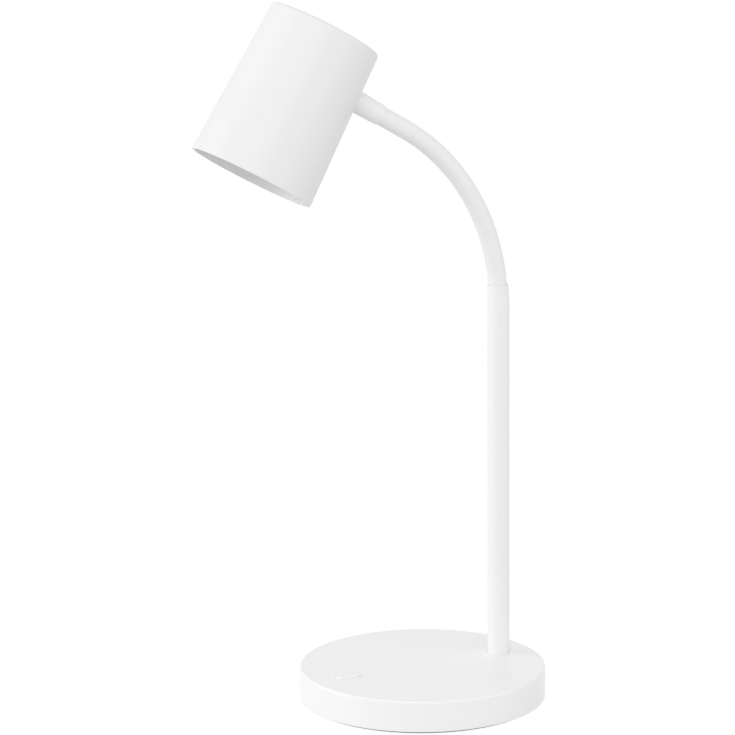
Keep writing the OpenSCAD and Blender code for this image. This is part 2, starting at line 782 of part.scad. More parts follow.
// The fitting on the neck's end, which turns in the shade's collar
module neck_tip() {
    color([0.66, 0.67, 0.69]) at_neck(bends) difference() {
        union() {
            translate([0, 0, tip_z]) cylinder(r = hose_r, h = tip_grip_len);
            translate([0, 0, ferrule_z - over])
                cylinder(r = tip_stem_r, h = end_len - tip_end_y - ferrule_z + over);
        }
        translate([0, 0, end_len - tip_clip_y - clip_t]) clip_cut(tip_stem_r);
        translate([0, 0, tip_z - over]) cylinder(r = hose_bore_r, h = end_len);
    }
}

module tip_clip() {
    color([0.45, 0.45, 0.47]) at_neck(bends) translate([0, 0, end_len - tip_clip_y - clip_t])
        clip(tip_stem_r);
}

// ---------- Shade and light ----------

// A solid cone that follows the shade's outside, set in by a distance
module shade_cone(z0, z1, inset) {
    translate([0, 0, z0]) cylinder(r1 = shade_r(z0) - inset, r2 = shade_r(z1) - inset, h = z1 - z0);
}

// Half section of the shade's outside
function shade_section() = concat(
    [[0, mouth_z]],
    arc(mouth_r - lip_r, mouth_z + lip_r, lip_r, -90, 0, 4),
    arc(top_r - shade_edge_r, mouth_z + shade_h - shade_edge_r, shade_edge_r, 0, 90),
    [[0, mouth_z + shade_h]]);

module shade() {
    color([0.95, 0.95, 0.94]) at_head() difference() {
        union() {
            difference() {
                rotate_extrude() polygon(shade_section());
                shade_cone(mouth_z - over, mouth_z + shade_h - shade_top_t, shade_wall);
            }
            // shoulder above the heat sink
            difference() {
                shade_cone(shoulder_z, shoulder_z + shoulder_h, shade_wall / 2);
                shade_cone(shoulder_z - over, shoulder_z + shoulder_h + over, shade_wall + shoulder_w);
            }
            // flat pad for the collar's nut
            intersection() {
                translate([0, seat_y, 0]) rotate([-90, 0, 0])
                    cylinder(r = seat_pad_r, h = seat_pad_t + shade_wall);
                shade_cone(-seat_pad_r, seat_pad_r, shade_wall / 2);
            }
        }
        translate([0, seat_y - over, 0]) rotate([-90, 0, 0])
            cylinder(r = ferrule_thread_r + seat_fit, h = shade_r(0));
    }
}

module head_ferrule() {
    color([0.94, 0.94, 0.93]) at_head() difference() {
        union() {
            difference() {
                translate([0, seat_y, 0]) rotate([-90, 0, 0])
                    cylinder(r = ferrule_r, h = shade_r(0) - seat_y);
                shade_cone(-2 * ferrule_r, 2 * ferrule_r, -seat_fit);
            }
            difference() {
                translate([0, shade_r(0), 0]) rotate([-90, 0, 0])
                    cylinder(r1 = ferrule_r, r2 = ferrule_end_r, h = ferrule_len);
                shade_cone(-2 * ferrule_r, 2 * ferrule_r, -seat_fit);
            }
            translate([0, ferrule_end_y, 0]) rotate([-90, 0, 0])
                cylinder(r = ferrule_thread_r, h = shade_r(0) + ferrule_len / 2 - ferrule_end_y);
        }
        translate([0, ferrule_end_y - over, 0]) rotate([-90, 0, 0])
            cylinder(r = tip_stem_r + turn_fit, h = shade_r(0) + ferrule_len);
    }
}

module ferrule_nut() {
    color([0.62, 0.60, 0.52]) at_head() translate([0, seat_y, 0]) rotate([90, 0, 0]) difference() {
        cylinder(r = ferrule_nut_r, h = ferrule_nut_t, $fn = 6);
        translate([0, 0, -over])
            cylinder(r = ferrule_thread_r + seat_fit, h = ferrule_nut_t + 2 * over);
    }
}

// Places its children at each screw of the LED board
module at_led_screws() {
    for (a = [30, 150, 270]) rotate(a) translate([led_screw_off, 0, 0]) children();
}

module heat_sink() {
    color([0.75, 0.76, 0.78]) at_head() difference() {
        union() {
            shade_cone(sink_z, sink_z + sink_t, shade_wall + rim_gap / 2);
            for (i = [0 : fin_count - 1]) {
                x = (i - (fin_count - 1) / 2) * fin_pitch;
                front = sqrt(fin_reach_r * fin_reach_r - x * x);
                translate([x - fin_t / 2, -front, sink_z + sink_t / 2])
                    cube([fin_t, front + head_lead_y - fin_lead_gap, fin_h + sink_t / 2]);
            }
        }
        translate([0, head_lead_y, sink_z - over])
            cylinder(r = lead_r + hole_gap, h = sink_t + 2 * over);
        at_led_screws() translate([0, 0, sink_z - over])
            cylinder(r = led_screw_r + seat_fit, h = sink_t - led_hole_end + over);
    }
}

module led_board() {
    color([0.93, 0.93, 0.91]) at_head() difference() {
        translate([0, 0, led_z]) cylinder(r = led_board_r, h = led_board_t);
        at_led_screws() translate([0, 0, led_z - over])
            cylinder(r = led_screw_r + seat_fit, h = led_board_t + 2 * over);
    }
}

// A ring of LEDs round the board's centre
module led_ring(ring_r, count) {
    for (i = [0 : count - 1]) rotate(i * 360 / count)
        translate([ring_r - led_w / 2, -led_w / 2, led_z - led_h]) cube([led_w, led_w, led_h]);
}

module leds() {
    color([0.95, 0.85, 0.45]) at_head() {
        led_ring(led_ring_r, led_count);
        led_ring(led_ring_r / 2, led_inner_count);
    }
}

module led_screws() {
    color([0.60, 0.61, 0.63]) at_head() at_led_screws() {
        translate([0, 0, led_z - led_screw_head_h])
            cylinder(r = led_screw_head_r, h = led_screw_head_h);
        translate([0, 0, led_z]) cylinder(r = led_screw_r, h = led_board_t + sink_t - led_screw_end);
    }
}

// The lead from the neck's end down to the LED board
module head_lead() {
    start_y = tip_end_y - lead_join;
    color([0.20, 0.20, 0.22]) at_head() {
        translate([0, start_y, 0]) rotate([90, 0, 0])
            cylinder(r = lead_r, h = start_y - head_lead_y - head_lead_turn_r);
        translate([0, head_lead_y + head_lead_turn_r, -head_lead_turn_r])
            rotate([180, 0, 0]) rotate([0, 90, 0]) bend_flat(0, head_lead_turn_r, lead_r);
        translate([0, head_lead_y, sink_z]) cylinder(r = lead_r, h = -head_lead_turn_r - sink_z);
    }
}

// A cone that opens from the LED board to the diffuser, with a flat rim
module reflector() {
    rim_top_z = reflector_z + reflector_wall;
    color([0.96, 0.96, 0.95]) at_head() rotate_extrude() polygon([
        [reflector_narrow_r, sink_z],
        [reflector_wide_r - reflector_wall, reflector_z],
        [reflector_rim_r, reflector_z],
        [reflector_rim_r, rim_top_z],
        [reflector_wide_r, rim_top_z],
        [reflector_narrow_r + reflector_wall, sink_z]]);
}

module diffuser() {
    color([0.97, 0.97, 0.95]) at_head()
        shade_cone(diffuser_z, diffuser_z + diffuser_t, shade_wall + rim_gap / 2);
}

module diffuser_ring() {
    color([0.95, 0.95, 0.94]) at_head() difference() {
        shade_cone(ring_z, ring_z + ring_h, shade_wall + seat_fit);
        shade_cone(ring_z - over, ring_z + ring_h + over, shade_wall + ring_w);
    }
}

foot_pad();
bottom_plate();
plate_screws();
ballast();
base_cover();
control_board();
board_parts();
board_screws();
lead_plugs();
switch_body();
snap_dome();
switch_key();
switch_plunger();
inlet_board();
inlet_socket();
inlet_lead();
pole_tube();
pole_washer();
pole_nut();
pole_bush();
pole_lead();
neck_root();
root_clip();
neck_sleeve(1);  // neck_sleeve_1
neck_sleeve(2);  // neck_sleeve_2
neck_sleeve(3);  // neck_sleeve_3
neck_sleeve(4);  // neck_sleeve_4
neck_sleeve(5);  // neck_sleeve_5
neck_sleeve(6);  // neck_sleeve_6
neck_sleeve(7);  // neck_sleeve_7
neck_sleeve(8);  // neck_sleeve_8
neck_hose(1);  // neck_hose_1
neck_hose(2);  // neck_hose_2
neck_hose(3);  // neck_hose_3
neck_hose(4);  // neck_hose_4
neck_hose(5);  // neck_hose_5
neck_hose(6);  // neck_hose_6
neck_hose(7);  // neck_hose_7
neck_hose(8);  // neck_hose_8
neck_lead(1);  // neck_lead_1
neck_lead(2);  // neck_lead_2
neck_lead(3);  // neck_lead_3
neck_lead(4);  // neck_lead_4
neck_lead(5);  // neck_lead_5
neck_lead(6);  // neck_lead_6
neck_lead(7);  // neck_lead_7
neck_lead(8);  // neck_lead_8
neck_tip();
tip_clip();
head_ferrule();
ferrule_nut();
shade();
heat_sink();
led_board();
leds();
led_screws();
head_lead();
reflector();
diffuser();
diffuser_ring();
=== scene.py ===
"""Looks of a desk lamp: a round base, an upright pole, a flexible neck and a can-shaped shade.

All lengths are in metres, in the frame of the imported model: the origin lies under the centre of
the base, +Z is up, the shade and the key are towards -Y, and the pole and the power inlet towards
+Y. Each sub-assembly is a class. It dresses the nodes of the model that stay, and builds the
pieces that take the place of the others.
"""

from __future__ import annotations

import json
import logging
import math
from collections.abc import Mapping, Sequence
from dataclasses import dataclass
from enum import Enum

import bpy
from mathutils import Matrix, Vector


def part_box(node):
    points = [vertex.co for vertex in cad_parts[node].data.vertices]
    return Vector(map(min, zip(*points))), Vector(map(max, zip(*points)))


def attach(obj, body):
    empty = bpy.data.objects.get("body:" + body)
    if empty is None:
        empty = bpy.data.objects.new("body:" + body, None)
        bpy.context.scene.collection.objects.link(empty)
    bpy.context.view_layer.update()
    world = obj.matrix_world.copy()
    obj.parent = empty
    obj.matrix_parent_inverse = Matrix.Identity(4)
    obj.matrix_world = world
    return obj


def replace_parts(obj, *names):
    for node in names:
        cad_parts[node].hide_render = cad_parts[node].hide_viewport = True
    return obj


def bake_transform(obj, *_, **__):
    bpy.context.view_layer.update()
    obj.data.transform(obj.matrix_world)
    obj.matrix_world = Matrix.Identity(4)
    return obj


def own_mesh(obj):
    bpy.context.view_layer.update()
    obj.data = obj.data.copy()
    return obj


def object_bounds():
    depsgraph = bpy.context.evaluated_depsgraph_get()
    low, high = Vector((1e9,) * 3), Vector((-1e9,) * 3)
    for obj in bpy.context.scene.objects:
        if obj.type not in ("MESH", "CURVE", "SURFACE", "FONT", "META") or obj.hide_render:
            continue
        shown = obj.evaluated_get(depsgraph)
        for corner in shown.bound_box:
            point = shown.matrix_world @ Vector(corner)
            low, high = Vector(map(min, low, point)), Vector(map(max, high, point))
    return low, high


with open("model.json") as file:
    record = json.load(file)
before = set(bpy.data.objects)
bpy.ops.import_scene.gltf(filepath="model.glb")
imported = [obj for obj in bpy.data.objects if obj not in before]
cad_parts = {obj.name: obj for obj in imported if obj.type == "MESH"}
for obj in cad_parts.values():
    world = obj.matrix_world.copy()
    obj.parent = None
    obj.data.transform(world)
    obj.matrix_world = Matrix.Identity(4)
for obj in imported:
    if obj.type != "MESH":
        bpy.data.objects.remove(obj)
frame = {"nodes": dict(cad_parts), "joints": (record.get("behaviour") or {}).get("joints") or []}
CAD_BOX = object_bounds()
JOINTS = {joint["name"]: joint for joint in frame["joints"]}
BENDS = sorted(name for name in JOINTS if name.startswith("neck_bend_"))

LOG = logging.getLogger("desk_lamp")
MM = 0.001
ACROSS = Vector((1.0, 0.0, 0.0))
UP = Vector((0.0, 0.0, 1.0))
SHARP_ANGLE = math.radians(35.0)  # from this angle between two faces, their edge stays sharp
PLACE_DIGITS = 6  # points that agree to this many decimals of a metre are one point
NOISE_SPAN = (0.3, 0.7)  # where nearly all of a smooth noise's values lie

Colour = tuple[float, float, float]
Inputs = Mapping[str | int, object]
Ring = list[Vector]
Skin = tuple[list[Vector], list[list[int]]]
Node = bpy.types.Node
Piece = bpy.types.Object
Socket = bpy.types.NodeSocket


# ---------- Node trees ----------


class Graph:
    """The node tree of a material or a world, with short calls that add nodes and join them."""

    def __init__(self, owner: bpy.types.Material | bpy.types.World) -> None:
        """Empty the node tree of a material or a world.

        Args:
            owner: The material or the world.
        """
        owner.use_nodes = True
        self.tree = owner.node_tree
        self.tree.nodes.clear()

    def fill(self, socket: Socket, value: object) -> None:
        """Give an input a value, or join it to an output.

        Args:
            socket: The input.
            value: A number, a colour or a vector of three numbers, or the output of a node.
        """
        if isinstance(value, Socket):
            self.tree.links.new(value, socket)
        elif socket.type == "RGBA":
            socket.default_value = (*value, 1.0)
        else:
            socket.default_value = value

    def feed(self, node: Node, inputs: Inputs) -> Node:
        """Fill some inputs of a node, and return the node.

        Args:
            node: The node.
            inputs: What goes into each input, by its name or its number.

        Returns:
            The same node.
        """
        for key, value in inputs.items():
            self.fill(node.inputs[key], value)
        return node

    def add(self, kind: str, inputs: Inputs | None = None) -> Node:
        """Add a node of that kind, fill some of its inputs, and return it."""
        return self.feed(self.tree.nodes.new(kind), inputs or {})

    def mixed(self, share: Socket, first: Node, second: Node) -> Node:
        """Mix two shaders, so that a share of 0 shows the first and 1 the second."""
        ends = {1: first.outputs[0], 2: second.outputs[0]}
        return self.add("ShaderNodeMixShader", {"Fac": share, **ends})

    def seen(self) -> Socket:
        """Tell the rays that see the backdrop, directly or in gloss or glass, from all others.

        Returns:
            The output that holds 1 for those rays, and 0 for the others.
        """
        rays = self.add("ShaderNodeLightPath").outputs
        total = rays["Is Camera Ray"]
        for name in ("Is Glossy Ray", "Is Transmission Ray"):
            most = self.add("ShaderNodeMath", {0: total, 1: rays[name]})
            most.operation = "MAXIMUM"
            total = most.outputs[0]
        return total


class Surface(Graph):
    """The node tree of a material, round its one shader."""

    def __init__(self, name: str) -> None:
        """Start a material that holds one shader.

        Args:
            name: The name of the material.
        """
        self.material = bpy.data.materials.new(name)
        super().__init__(self.material)
        self.shader = self.add("ShaderNodeBsdfPrincipled")
        self.add("ShaderNodeOutputMaterial", {"Surface": self.shader.outputs["BSDF"]})
        self.place = self.add("ShaderNodeTexCoord").outputs["Object"]

    def give(self, inputs: Inputs) -> None:
        """Fill some of the shader's inputs."""
        self.feed(self.shader, inputs)

    def stretched(self, factors: Sequence[float]) -> Socket:
        """Return the place on the object, scaled by those factors along X, Y and Z."""
        mapping = self.add("ShaderNodeMapping", {"Vector": self.place, "Scale": factors})
        return mapping.outputs["Vector"]

    def noise(self, size: float, layers: float = 2.0, place: Socket | None = None) -> Socket:
        """Return noise from 0 to 1, with grains of that size and that many finer layers on top."""
        inputs = {"Vector": place or self.place, "Scale": 1 / size, "Detail": layers}
        return self.add("ShaderNodeTexNoise", inputs).outputs["Fac"]

    def cells(self, size: float, edges: bool = False, place: Socket | None = None) -> Socket:
        """Return a pattern of irregular cells.

        Args:
            size: The width of a cell, in metres.
            edges: Whether to give the distance to the cell's edge and not to its centre.
            place: Where the pattern is read. The place on the object if it is None.

        Returns:
            The output that holds the distance, in cells.
        """
        inputs = {"Vector": place or self.place, "Scale": 1 / size}
        node = self.add("ShaderNodeTexVoronoi", inputs)
        node.feature = "DISTANCE_TO_EDGE" if edges else "F1"
        return node.outputs["Distance"]

    def ranged(self, value: Socket, low: float = 0.0, high: float = 1.0,
               start: float = NOISE_SPAN[0], end: float = NOISE_SPAN[1]) -> Socket:
        """Map a pattern so that start gives low and end gives high, and hold it past both."""
        inputs = {"From Min": start, "From Max": end, "To Min": low, "To Max": high}
        return self.add("ShaderNodeMapRange", {"Value": value, **inputs}).outputs["Result"]

    def between(self, value: Socket, first: Colour, second: Colour) -> Socket:
        """Mix two colours by a pattern.

        Args:
            value: The pattern: 0 gives the first colour, 1 the second.
            first: The first colour.
            second: The second colour.

        Returns:
            The output that holds the mixed colour.
        """
        node = self.add("ShaderNodeMix")
        node.data_type = "RGBA"
        ends = [socket for socket in node.inputs if socket.type == "RGBA"]
        for socket, filling in zip((node.inputs["Factor"], *ends), (value, first, second)):
            self.fill(socket, filling)
        return next(socket for socket in node.outputs if socket.type == "RGBA")

    def raised(self, height: Socket, depth: float) -> None:
        """Raise the surface by a pattern, on top of what raises it already.

        Args:
            height: The pattern, from 0 to 1.
            depth: How far a 1 stands above a 0, in metres.
        """
        bump = self.add("ShaderNodeBump", {"Height": height, "Distance": depth})
        normal = self.shader.inputs["Normal"]
        if normal.is_linked:
            self.fill(bump.inputs["Normal"], normal.links[0].from_socket)
        self.fill(normal, bump.outputs["Normal"])


def darker(colour: Colour, share: float) -> Colour:
    """Return the colour with that share of its light left."""
    return colour[0] * share, colour[1] * share, colour[2] * share


# ---------- Finishes ----------


@dataclass(frozen=True)
class Finish:
    """The finish of a surface, which builds its material from its own numbers.

    Attributes:
        name: The material's name.
        colour: The colour of the surface, linear.
        roughness: How matt the surface is, from 0 to 1.
        mottle: The share of the colour that its darkest places lose.
        spread: How far the roughness goes to either side of its own value.
    """

    name: str
    colour: Colour
    roughness: float
    mottle: float = 0.0
    spread: float = 0.0

    def material(self) -> bpy.types.Material:
        """Return the material, built the first time that it is asked for."""
        return bpy.data.materials.get("finish_" + self.name) or self._built()

    def _built(self) -> bpy.types.Material:
        """Build the material: the plain surface first, and then its detail.

        Returns:
            The material.
        """
        graph = Surface("finish_" + self.name)
        graph.give({"Base Color": self.colour, "Roughness": self.roughness})
        self.detail(graph)
        return graph.material

    def detail(self, graph: Surface) -> None:
        """Add what makes the surface look like its own stuff."""
        raise NotImplementedError

    def mottled(self, graph: Surface, pattern: Socket) -> None:
        """Darken the colour a little where the pattern is 0."""
        dark = darker(self.colour, 1 - self.mottle)
        graph.give({"Base Color": graph.between(pattern, dark, self.colour)})

    def roughened(self, graph: Surface, pattern: Socket) -> None:
        """Vary the roughness by a pattern."""
        low, high = self.roughness - self.spread, self.roughness + self.spread
        graph.give({"Roughness": graph.ranged(pattern, low, high)})


@dataclass(frozen=True)
class MouldedPlastic(Finish):
    """Injection-moulded plastic with the fine grain of a spark-eroded mould.

    Attributes:
        grain: The distance from grain to grain, in metres.
        grain_depth: The depth of the grain, in metres.
        flow: The width of the faint clouds that the flowing plastic leaves, in metres.
        patches: How many patches of more or less gloss lie across a cloud.
    """

    mottle: float = 0.012
    spread: float = 0.03
    grain: float = 0.35 * MM
    grain_depth: float = 0.006 * MM
    flow: float = 30 * MM
    patches: float = 4.0

    def detail(self, graph: Surface) -> None:
        """Add the faint clouds in the plastic and the mould's grain.

        Args:
            graph: The material's node tree.
        """
        self.mottled(graph, graph.ranged(graph.noise(self.flow)))
        self.roughened(graph, graph.noise(self.flow / self.patches, layers=3.0))
        graph.raised(graph.noise(self.grain, layers=3.0), self.grain_depth)


@dataclass(frozen=True)
class PowderCoat(Finish):
    """Powder-coated steel with its faint orange peel.

    Attributes:
        ripple: The distance from ripple to ripple, in metres.
        ripple_depth: The depth of the ripples, in metres.
        grains: How many grains of the powder lie across a ripple.
        flatness: How many times shallower than a ripple a grain is.
    """

    mottle: float = 0.02
    spread: float = 0.04
    ripple: float = 1.6 * MM
    ripple_depth: float = 0.012 * MM
    grains: float = 9.0
    flatness: float = 5.0

    def detail(self, graph: Surface) -> None:
        """Add the orange peel and the powder's fine grain.

        Args:
            graph: The material's node tree.
        """
        powder = graph.noise(self.ripple / self.grains)
        self.mottled(graph, graph.ranged(powder))
        self.roughened(graph, powder)
        graph.raised(graph.noise(self.ripple, layers=1.0), self.ripple_depth)
        graph.raised(powder, self.ripple_depth / self.flatness)


@dataclass(frozen=True)
class SoftSkin(Finish):
    """Soft extruded skin, such as silicone or the skin of a lead.

    Attributes:
        bloom: The size of the dusty clouds on it, in metres.
        line: The width of the fine lines that the die leaves, in metres.
        line_depth: The depth of those lines, in metres.
        draw: How long those lines are, as a multiple of their width.
        sheen: How much light its dust catches at a flat angle.
        sheen_roughness: How widely that light spreads.
    """

    mottle: float = 0.025
    spread: float = 0.05
    bloom: float = 3 * MM
    line: float = 0.25 * MM
    line_depth: float = 0.006 * MM
    draw: float = 12.0
    sheen: float = 0.15
    sheen_roughness: float = 0.5

    def detail(self, graph: Surface) -> None:
        """Add the dusty bloom and the die's fine lines.

        Args:
            graph: The material's node tree.
        """
        bloom = graph.noise(self.bloom, layers=3.0)
        lines = graph.noise(self.line, place=graph.stretched((1.0, 1.0, 1 / self.draw)))
        self.mottled(graph, graph.ranged(bloom))
        self.roughened(graph, bloom)
        graph.raised(lines, self.line_depth)
        graph.give({"Sheen Weight": self.sheen, "Sheen Roughness": self.sheen_roughness})


@dataclass(frozen=True)
class OpalPlastic(Finish):
    """Milky plastic that spreads the light behind it.

    Attributes:
        speck: The size of the specks in the plastic, in metres.
        speck_depth: How far the specks stand out, in metres.
        scatter: The share of the light that goes into the plastic.
        scatter_depth: How far that light travels, the same for every colour, in metres.
    """

    mottle: float = 0.03
    spread: float = 0.05
    speck: float = 0.3 * MM
    speck_depth: float = 0.004 * MM
    scatter: float = 0.6
    scatter_depth: float = 1.5 * MM

    def detail(self, graph: Surface) -> None:
        """Add the cloudy depth and the satin face.

        Args:
            graph: The material's node tree.
        """
        specks = graph.noise(self.speck, layers=3.0)
        self.mottled(graph, graph.ranged(specks))
        self.roughened(graph, specks)
        graph.raised(specks, self.speck_depth)
        graph.give({"Subsurface Weight": self.scatter, "Subsurface Scale": self.scatter_depth,
                    "Subsurface Radius": (1.0, 1.0, 1.0)})


@dataclass(frozen=True)
class CellFoam(Finish):
    """Closed-cell foam rubber with a skin of small pores.

    Attributes:
        cell: The size of a cell, in metres.
        cell_depth: The depth of a pore, in metres.
        pore_floor: How far a pore's floor reaches from its middle, in cells.
        pore_rim: How far a pore's rim lies from its middle, in cells.
        patches: How many patches of more or less gloss lie across a cell.
    """

    mottle: float = 0.45
    spread: float = 0.06
    cell: float = 0.7 * MM
    cell_depth: float = 0.12 * MM
    pore_floor: float = 0.05
    pore_rim: float = 0.6
    patches: float = 3.0

    def detail(self, graph: Surface) -> None:
        """Add the pores, with painted shade at their bottoms.

        Args:
            graph: The material's node tree.
        """
        pores = graph.ranged(graph.cells(self.cell), start=self.pore_floor, end=self.pore_rim)
        # painted shade: the colour is darkened at the pores' floors
        self.mottled(graph, pores)
        self.roughened(graph, graph.noise(self.cell / self.patches))
        graph.raised(pores, self.cell_depth)


class MetalGrain(Enum):
    """The marks that a metal's making leaves on it: how far they stretch along X, Y and Z."""

    TURNED = (1.0, 1.0, 30.0)
    BRUSHED = (0.04, 1.0, 1.0)
    PLATED = (1.0, 1.0, 1.0)
    CAST = (1.0, 1.0, 0.98)


@dataclass(frozen=True)
class Metal(Finish):
    """Bare or plated metal.

    Attributes:
        grain: The kind of marks on it.
        mark: The width of a mark, in metres.
        mark_depth: The depth of a mark, in metres.
        stain: The size of a stain, in marks.
        pit: The size of a pit in cast metal, in marks.
        pit_depth: The depth of such a pit, in depths of a mark.
    """

    mottle: float = 0.2
    spread: float = 0.08
    grain: MetalGrain = MetalGrain.PLATED
    mark: float = 0.2 * MM
    mark_depth: float = 0.008 * MM
    stain: float = 40.0
    pit: float = 4.0
    pit_depth: float = 2.0

    def detail(self, graph: Surface) -> None:
        """Add the marks of its making, a few stains and the metal's shine.

        Args:
            graph: The material's node tree.
        """
        marks = graph.noise(self.mark, layers=4.0, place=graph.stretched(self.grain.value))
        graph.give({"Metallic": 1.0})
        self.mottled(graph, graph.ranged(graph.noise(self.mark * self.stain, layers=4.0)))
        self.roughened(graph, marks)
        graph.raised(marks, self.mark_depth)
        if self.grain is MetalGrain.CAST:
            graph.raised(graph.cells(self.mark * self.pit), self.mark_depth * self.pit_depth)


@dataclass(frozen=True)
class Board(Finish):
    """A circuit board under its solder mask, with copper tracks showing through.

    Attributes:
        track: The colour of the mask over copper.
        pitch: The distance from track to track, in metres.
        mesh: The size of a mesh in the net of tracks, in pitches.
        net: How far the net is squeezed along X, Y and Z.
        track_half: Half the width of a track, in meshes.
        track_edge: How far from a track's middle its edge has faded out, in meshes.
        copper: The thickness of the copper, in metres.
        weave: The width of a thread of the glass cloth, in metres.
    """

    spread: float = 0.05
    track: Colour = (0.05, 0.30, 0.14)
    pitch: float = 1.27 * MM
    mesh: float = 3.0
    net: tuple[float, float, float] = (1.0, 0.6, 1.0)
    track_half: float = 0.05
    track_edge: float = 0.09
    copper: float = 0.035 * MM
    weave: float = 0.3 * MM

    def detail(self, graph: Surface) -> None:
        """Add the tracks, a little raised under the mask.

        Args:
            graph: The material's node tree.
        """
        net = graph.cells(self.pitch * self.mesh, edges=True, place=graph.stretched(self.net))
        tracks = graph.ranged(net, 1.0, 0.0, self.track_half, self.track_edge)
        graph.give({"Base Color": graph.between(tracks, self.colour, self.track)})
        self.roughened(graph, graph.noise(self.weave))
        graph.raised(tracks, self.copper)


@dataclass(frozen=True)
class Phosphor(Finish):
    """The yellow face of an LED: grains of phosphor in clear resin.

    Attributes:
        grain: The size of a grain, in metres.
        grain_depth: How far the grains stand out, in metres.
        coat: How much of the resin's gloss shows.
        coat_roughness: How matt that gloss is.
    """

    mottle: float = 0.2
    grain: float = 0.08 * MM
    grain_depth: float = 0.01 * MM
    coat: float = 0.6
    coat_roughness: float = 0.12

    def detail(self, graph: Surface) -> None:
        """Add the grains under a smooth coat of resin.

        Args:
            graph: The material's node tree.
        """
        grains = graph.noise(self.grain, layers=3.0)
        self.mottled(graph, graph.ranged(grains))
        graph.raised(grains, self.grain_depth)
        graph.give({"Coat Weight": self.coat, "Coat Roughness": self.coat_roughness})


WHITE = (0.87, 0.87, 0.87)
# The base and key white is lighter, and the lamp shade's white darker, than WHITE, set to how
# bright each part looks under the lights: painted light on the base and key, painted shade on the
# shade.
BASE_WHITE_WITH_PAINTED_LIGHT = (0.905, 0.905, 0.905)
SHADE_WHITE_WITH_PAINTED_SHADE = (0.815, 0.815, 0.815)
COVER_PLASTIC = MouldedPlastic("cover_plastic", BASE_WHITE_WITH_PAINTED_LIGHT, 0.24, grain_depth=0.003 * MM)
SHADE_PLASTIC = MouldedPlastic("shade_plastic", SHADE_WHITE_WITH_PAINTED_SHADE, 0.40, grain=0.3 * MM)
KEY_PLASTIC = MouldedPlastic("key_plastic", BASE_WHITE_WITH_PAINTED_LIGHT, 0.34, grain=0.25 * MM)
TRIM_PLASTIC = MouldedPlastic("trim_plastic", darker(WHITE, 0.98), 0.45)
BUSH_PLASTIC = MouldedPlastic("bush_plastic", (0.78, 0.76, 0.70), 0.42, flow=6 * MM)
PLUNGER_PLASTIC = MouldedPlastic("plunger_plastic", (0.72, 0.72, 0.66), 0.40, flow=4 * MM)
BLACK_PLASTIC = MouldedPlastic("black_plastic", (0.030, 0.030, 0.032), 0.42, flow=5 * MM)
COMPONENT_PLASTIC = MouldedPlastic("component_plastic", (0.045, 0.045, 0.050), 0.50, flow=4 * MM)
LED_CERAMIC = MouldedPlastic("led_ceramic", (0.80, 0.80, 0.78), 0.35, grain=0.1 * MM, flow=2 * MM)
POLE_COAT = PowderCoat("pole_coat", WHITE, 0.38)
FITTING_COAT = PowderCoat("fitting_coat", WHITE, 0.38, ripple=1.0 * MM)
NECK_SKIN = SoftSkin("neck_skin", darker(WHITE, 0.99), 0.46)
LEAD_SKIN = SoftSkin("lead_skin", (0.050, 0.050, 0.054), 0.48)
DIFFUSER_OPAL = OpalPlastic("diffuser_opal", (0.90, 0.90, 0.885), 0.42)
PAD_FOAM = CellFoam("pad_foam", (0.085, 0.085, 0.088), 0.85)
ZINC = Metal("zinc_steel", (0.62, 0.63, 0.65), 0.34, mottle=0.14)
PLATE_ZINC = Metal("plate_zinc", (0.58, 0.59, 0.60), 0.38, mottle=0.12, grain=MetalGrain.BRUSHED)
HOSE_STEEL = Metal("hose_steel", (0.56, 0.57, 0.58), 0.30, grain=MetalGrain.TURNED)
SPRING_STEEL = Metal("spring_steel", (0.24, 0.25, 0.27), 0.36, mark=0.15 * MM)
DOME_STEEL = Metal("dome_steel", (0.66, 0.64, 0.58), 0.24, mark=0.1 * MM)
BALLAST_IRON = Metal("ballast_iron", (0.075, 0.075, 0.080), 0.62, mottle=0.4,
                     grain=MetalGrain.CAST, mark=0.8 * MM, mark_depth=0.12 * MM)
NUT_BRASS = Metal("nut_brass", (0.66, 0.50, 0.24), 0.30, grain=MetalGrain.TURNED)
CONTACT_GOLD = Metal("contact_gold", (0.83, 0.62, 0.26), 0.22, mark=0.08 * MM,
                     mark_depth=0.002 * MM)
SINK_ALUMINIUM = Metal("sink_aluminium", (0.70, 0.71, 0.72), 0.36, grain=MetalGrain.BRUSHED)
GREEN_BOARD = Board("green_board", (0.018, 0.16, 0.070), 0.34)
WHITE_BOARD = Board("white_board", (0.82, 0.82, 0.80), 0.40, track=(0.74, 0.75, 0.74),
                    pitch=2.5 * MM)
LED_PHOSPHOR = Phosphor("led_phosphor", (0.83, 0.62, 0.10), 0.40)


# ---------- Meshes ----------


def as_object(name: str, points: Sequence[Vector], faces: Sequence[Sequence[int]]) -> Piece:
    """Make a smooth-shaded object from points and faces.

    Args:
        name: The object's name.
        points: The mesh's points.
        faces: The mesh's faces, each a list of the numbers of its points.

    Returns:
        The object, in the scene.
    """
    mesh = bpy.data.meshes.new(name)
    mesh.from_pydata([tuple(point) for point in points], [], [tuple(face) for face in faces])
    mesh.validate()
    mesh.shade_smooth()
    mesh.set_sharp_from_angle(angle=SHARP_ANGLE)
    made = bpy.data.objects.new(name, mesh)
    bpy.context.scene.collection.objects.link(made)
    return made


def around(centre: Vector, direction: Vector, radii: Sequence[float], turn: float = 0.0) -> Ring:
    """Return the points of one ring, square to an axis in the lamp's plane of symmetry.

    Args:
        centre: The ring's centre.
        direction: The unit direction of the axis there.
        radii: How far each point lies from the axis, in order round it.
        turn: The angle at which the first point lies, from the lamp's +X.

    Returns:
        The ring's points.
    """
    other = direction.cross(ACROSS)
    points = []
    for i, radius in enumerate(radii):
        angle = turn + 2 * math.pi * i / len(radii)
        points.append(centre + (ACROSS * math.cos(angle) + other * math.sin(angle)) * radius)
    return points


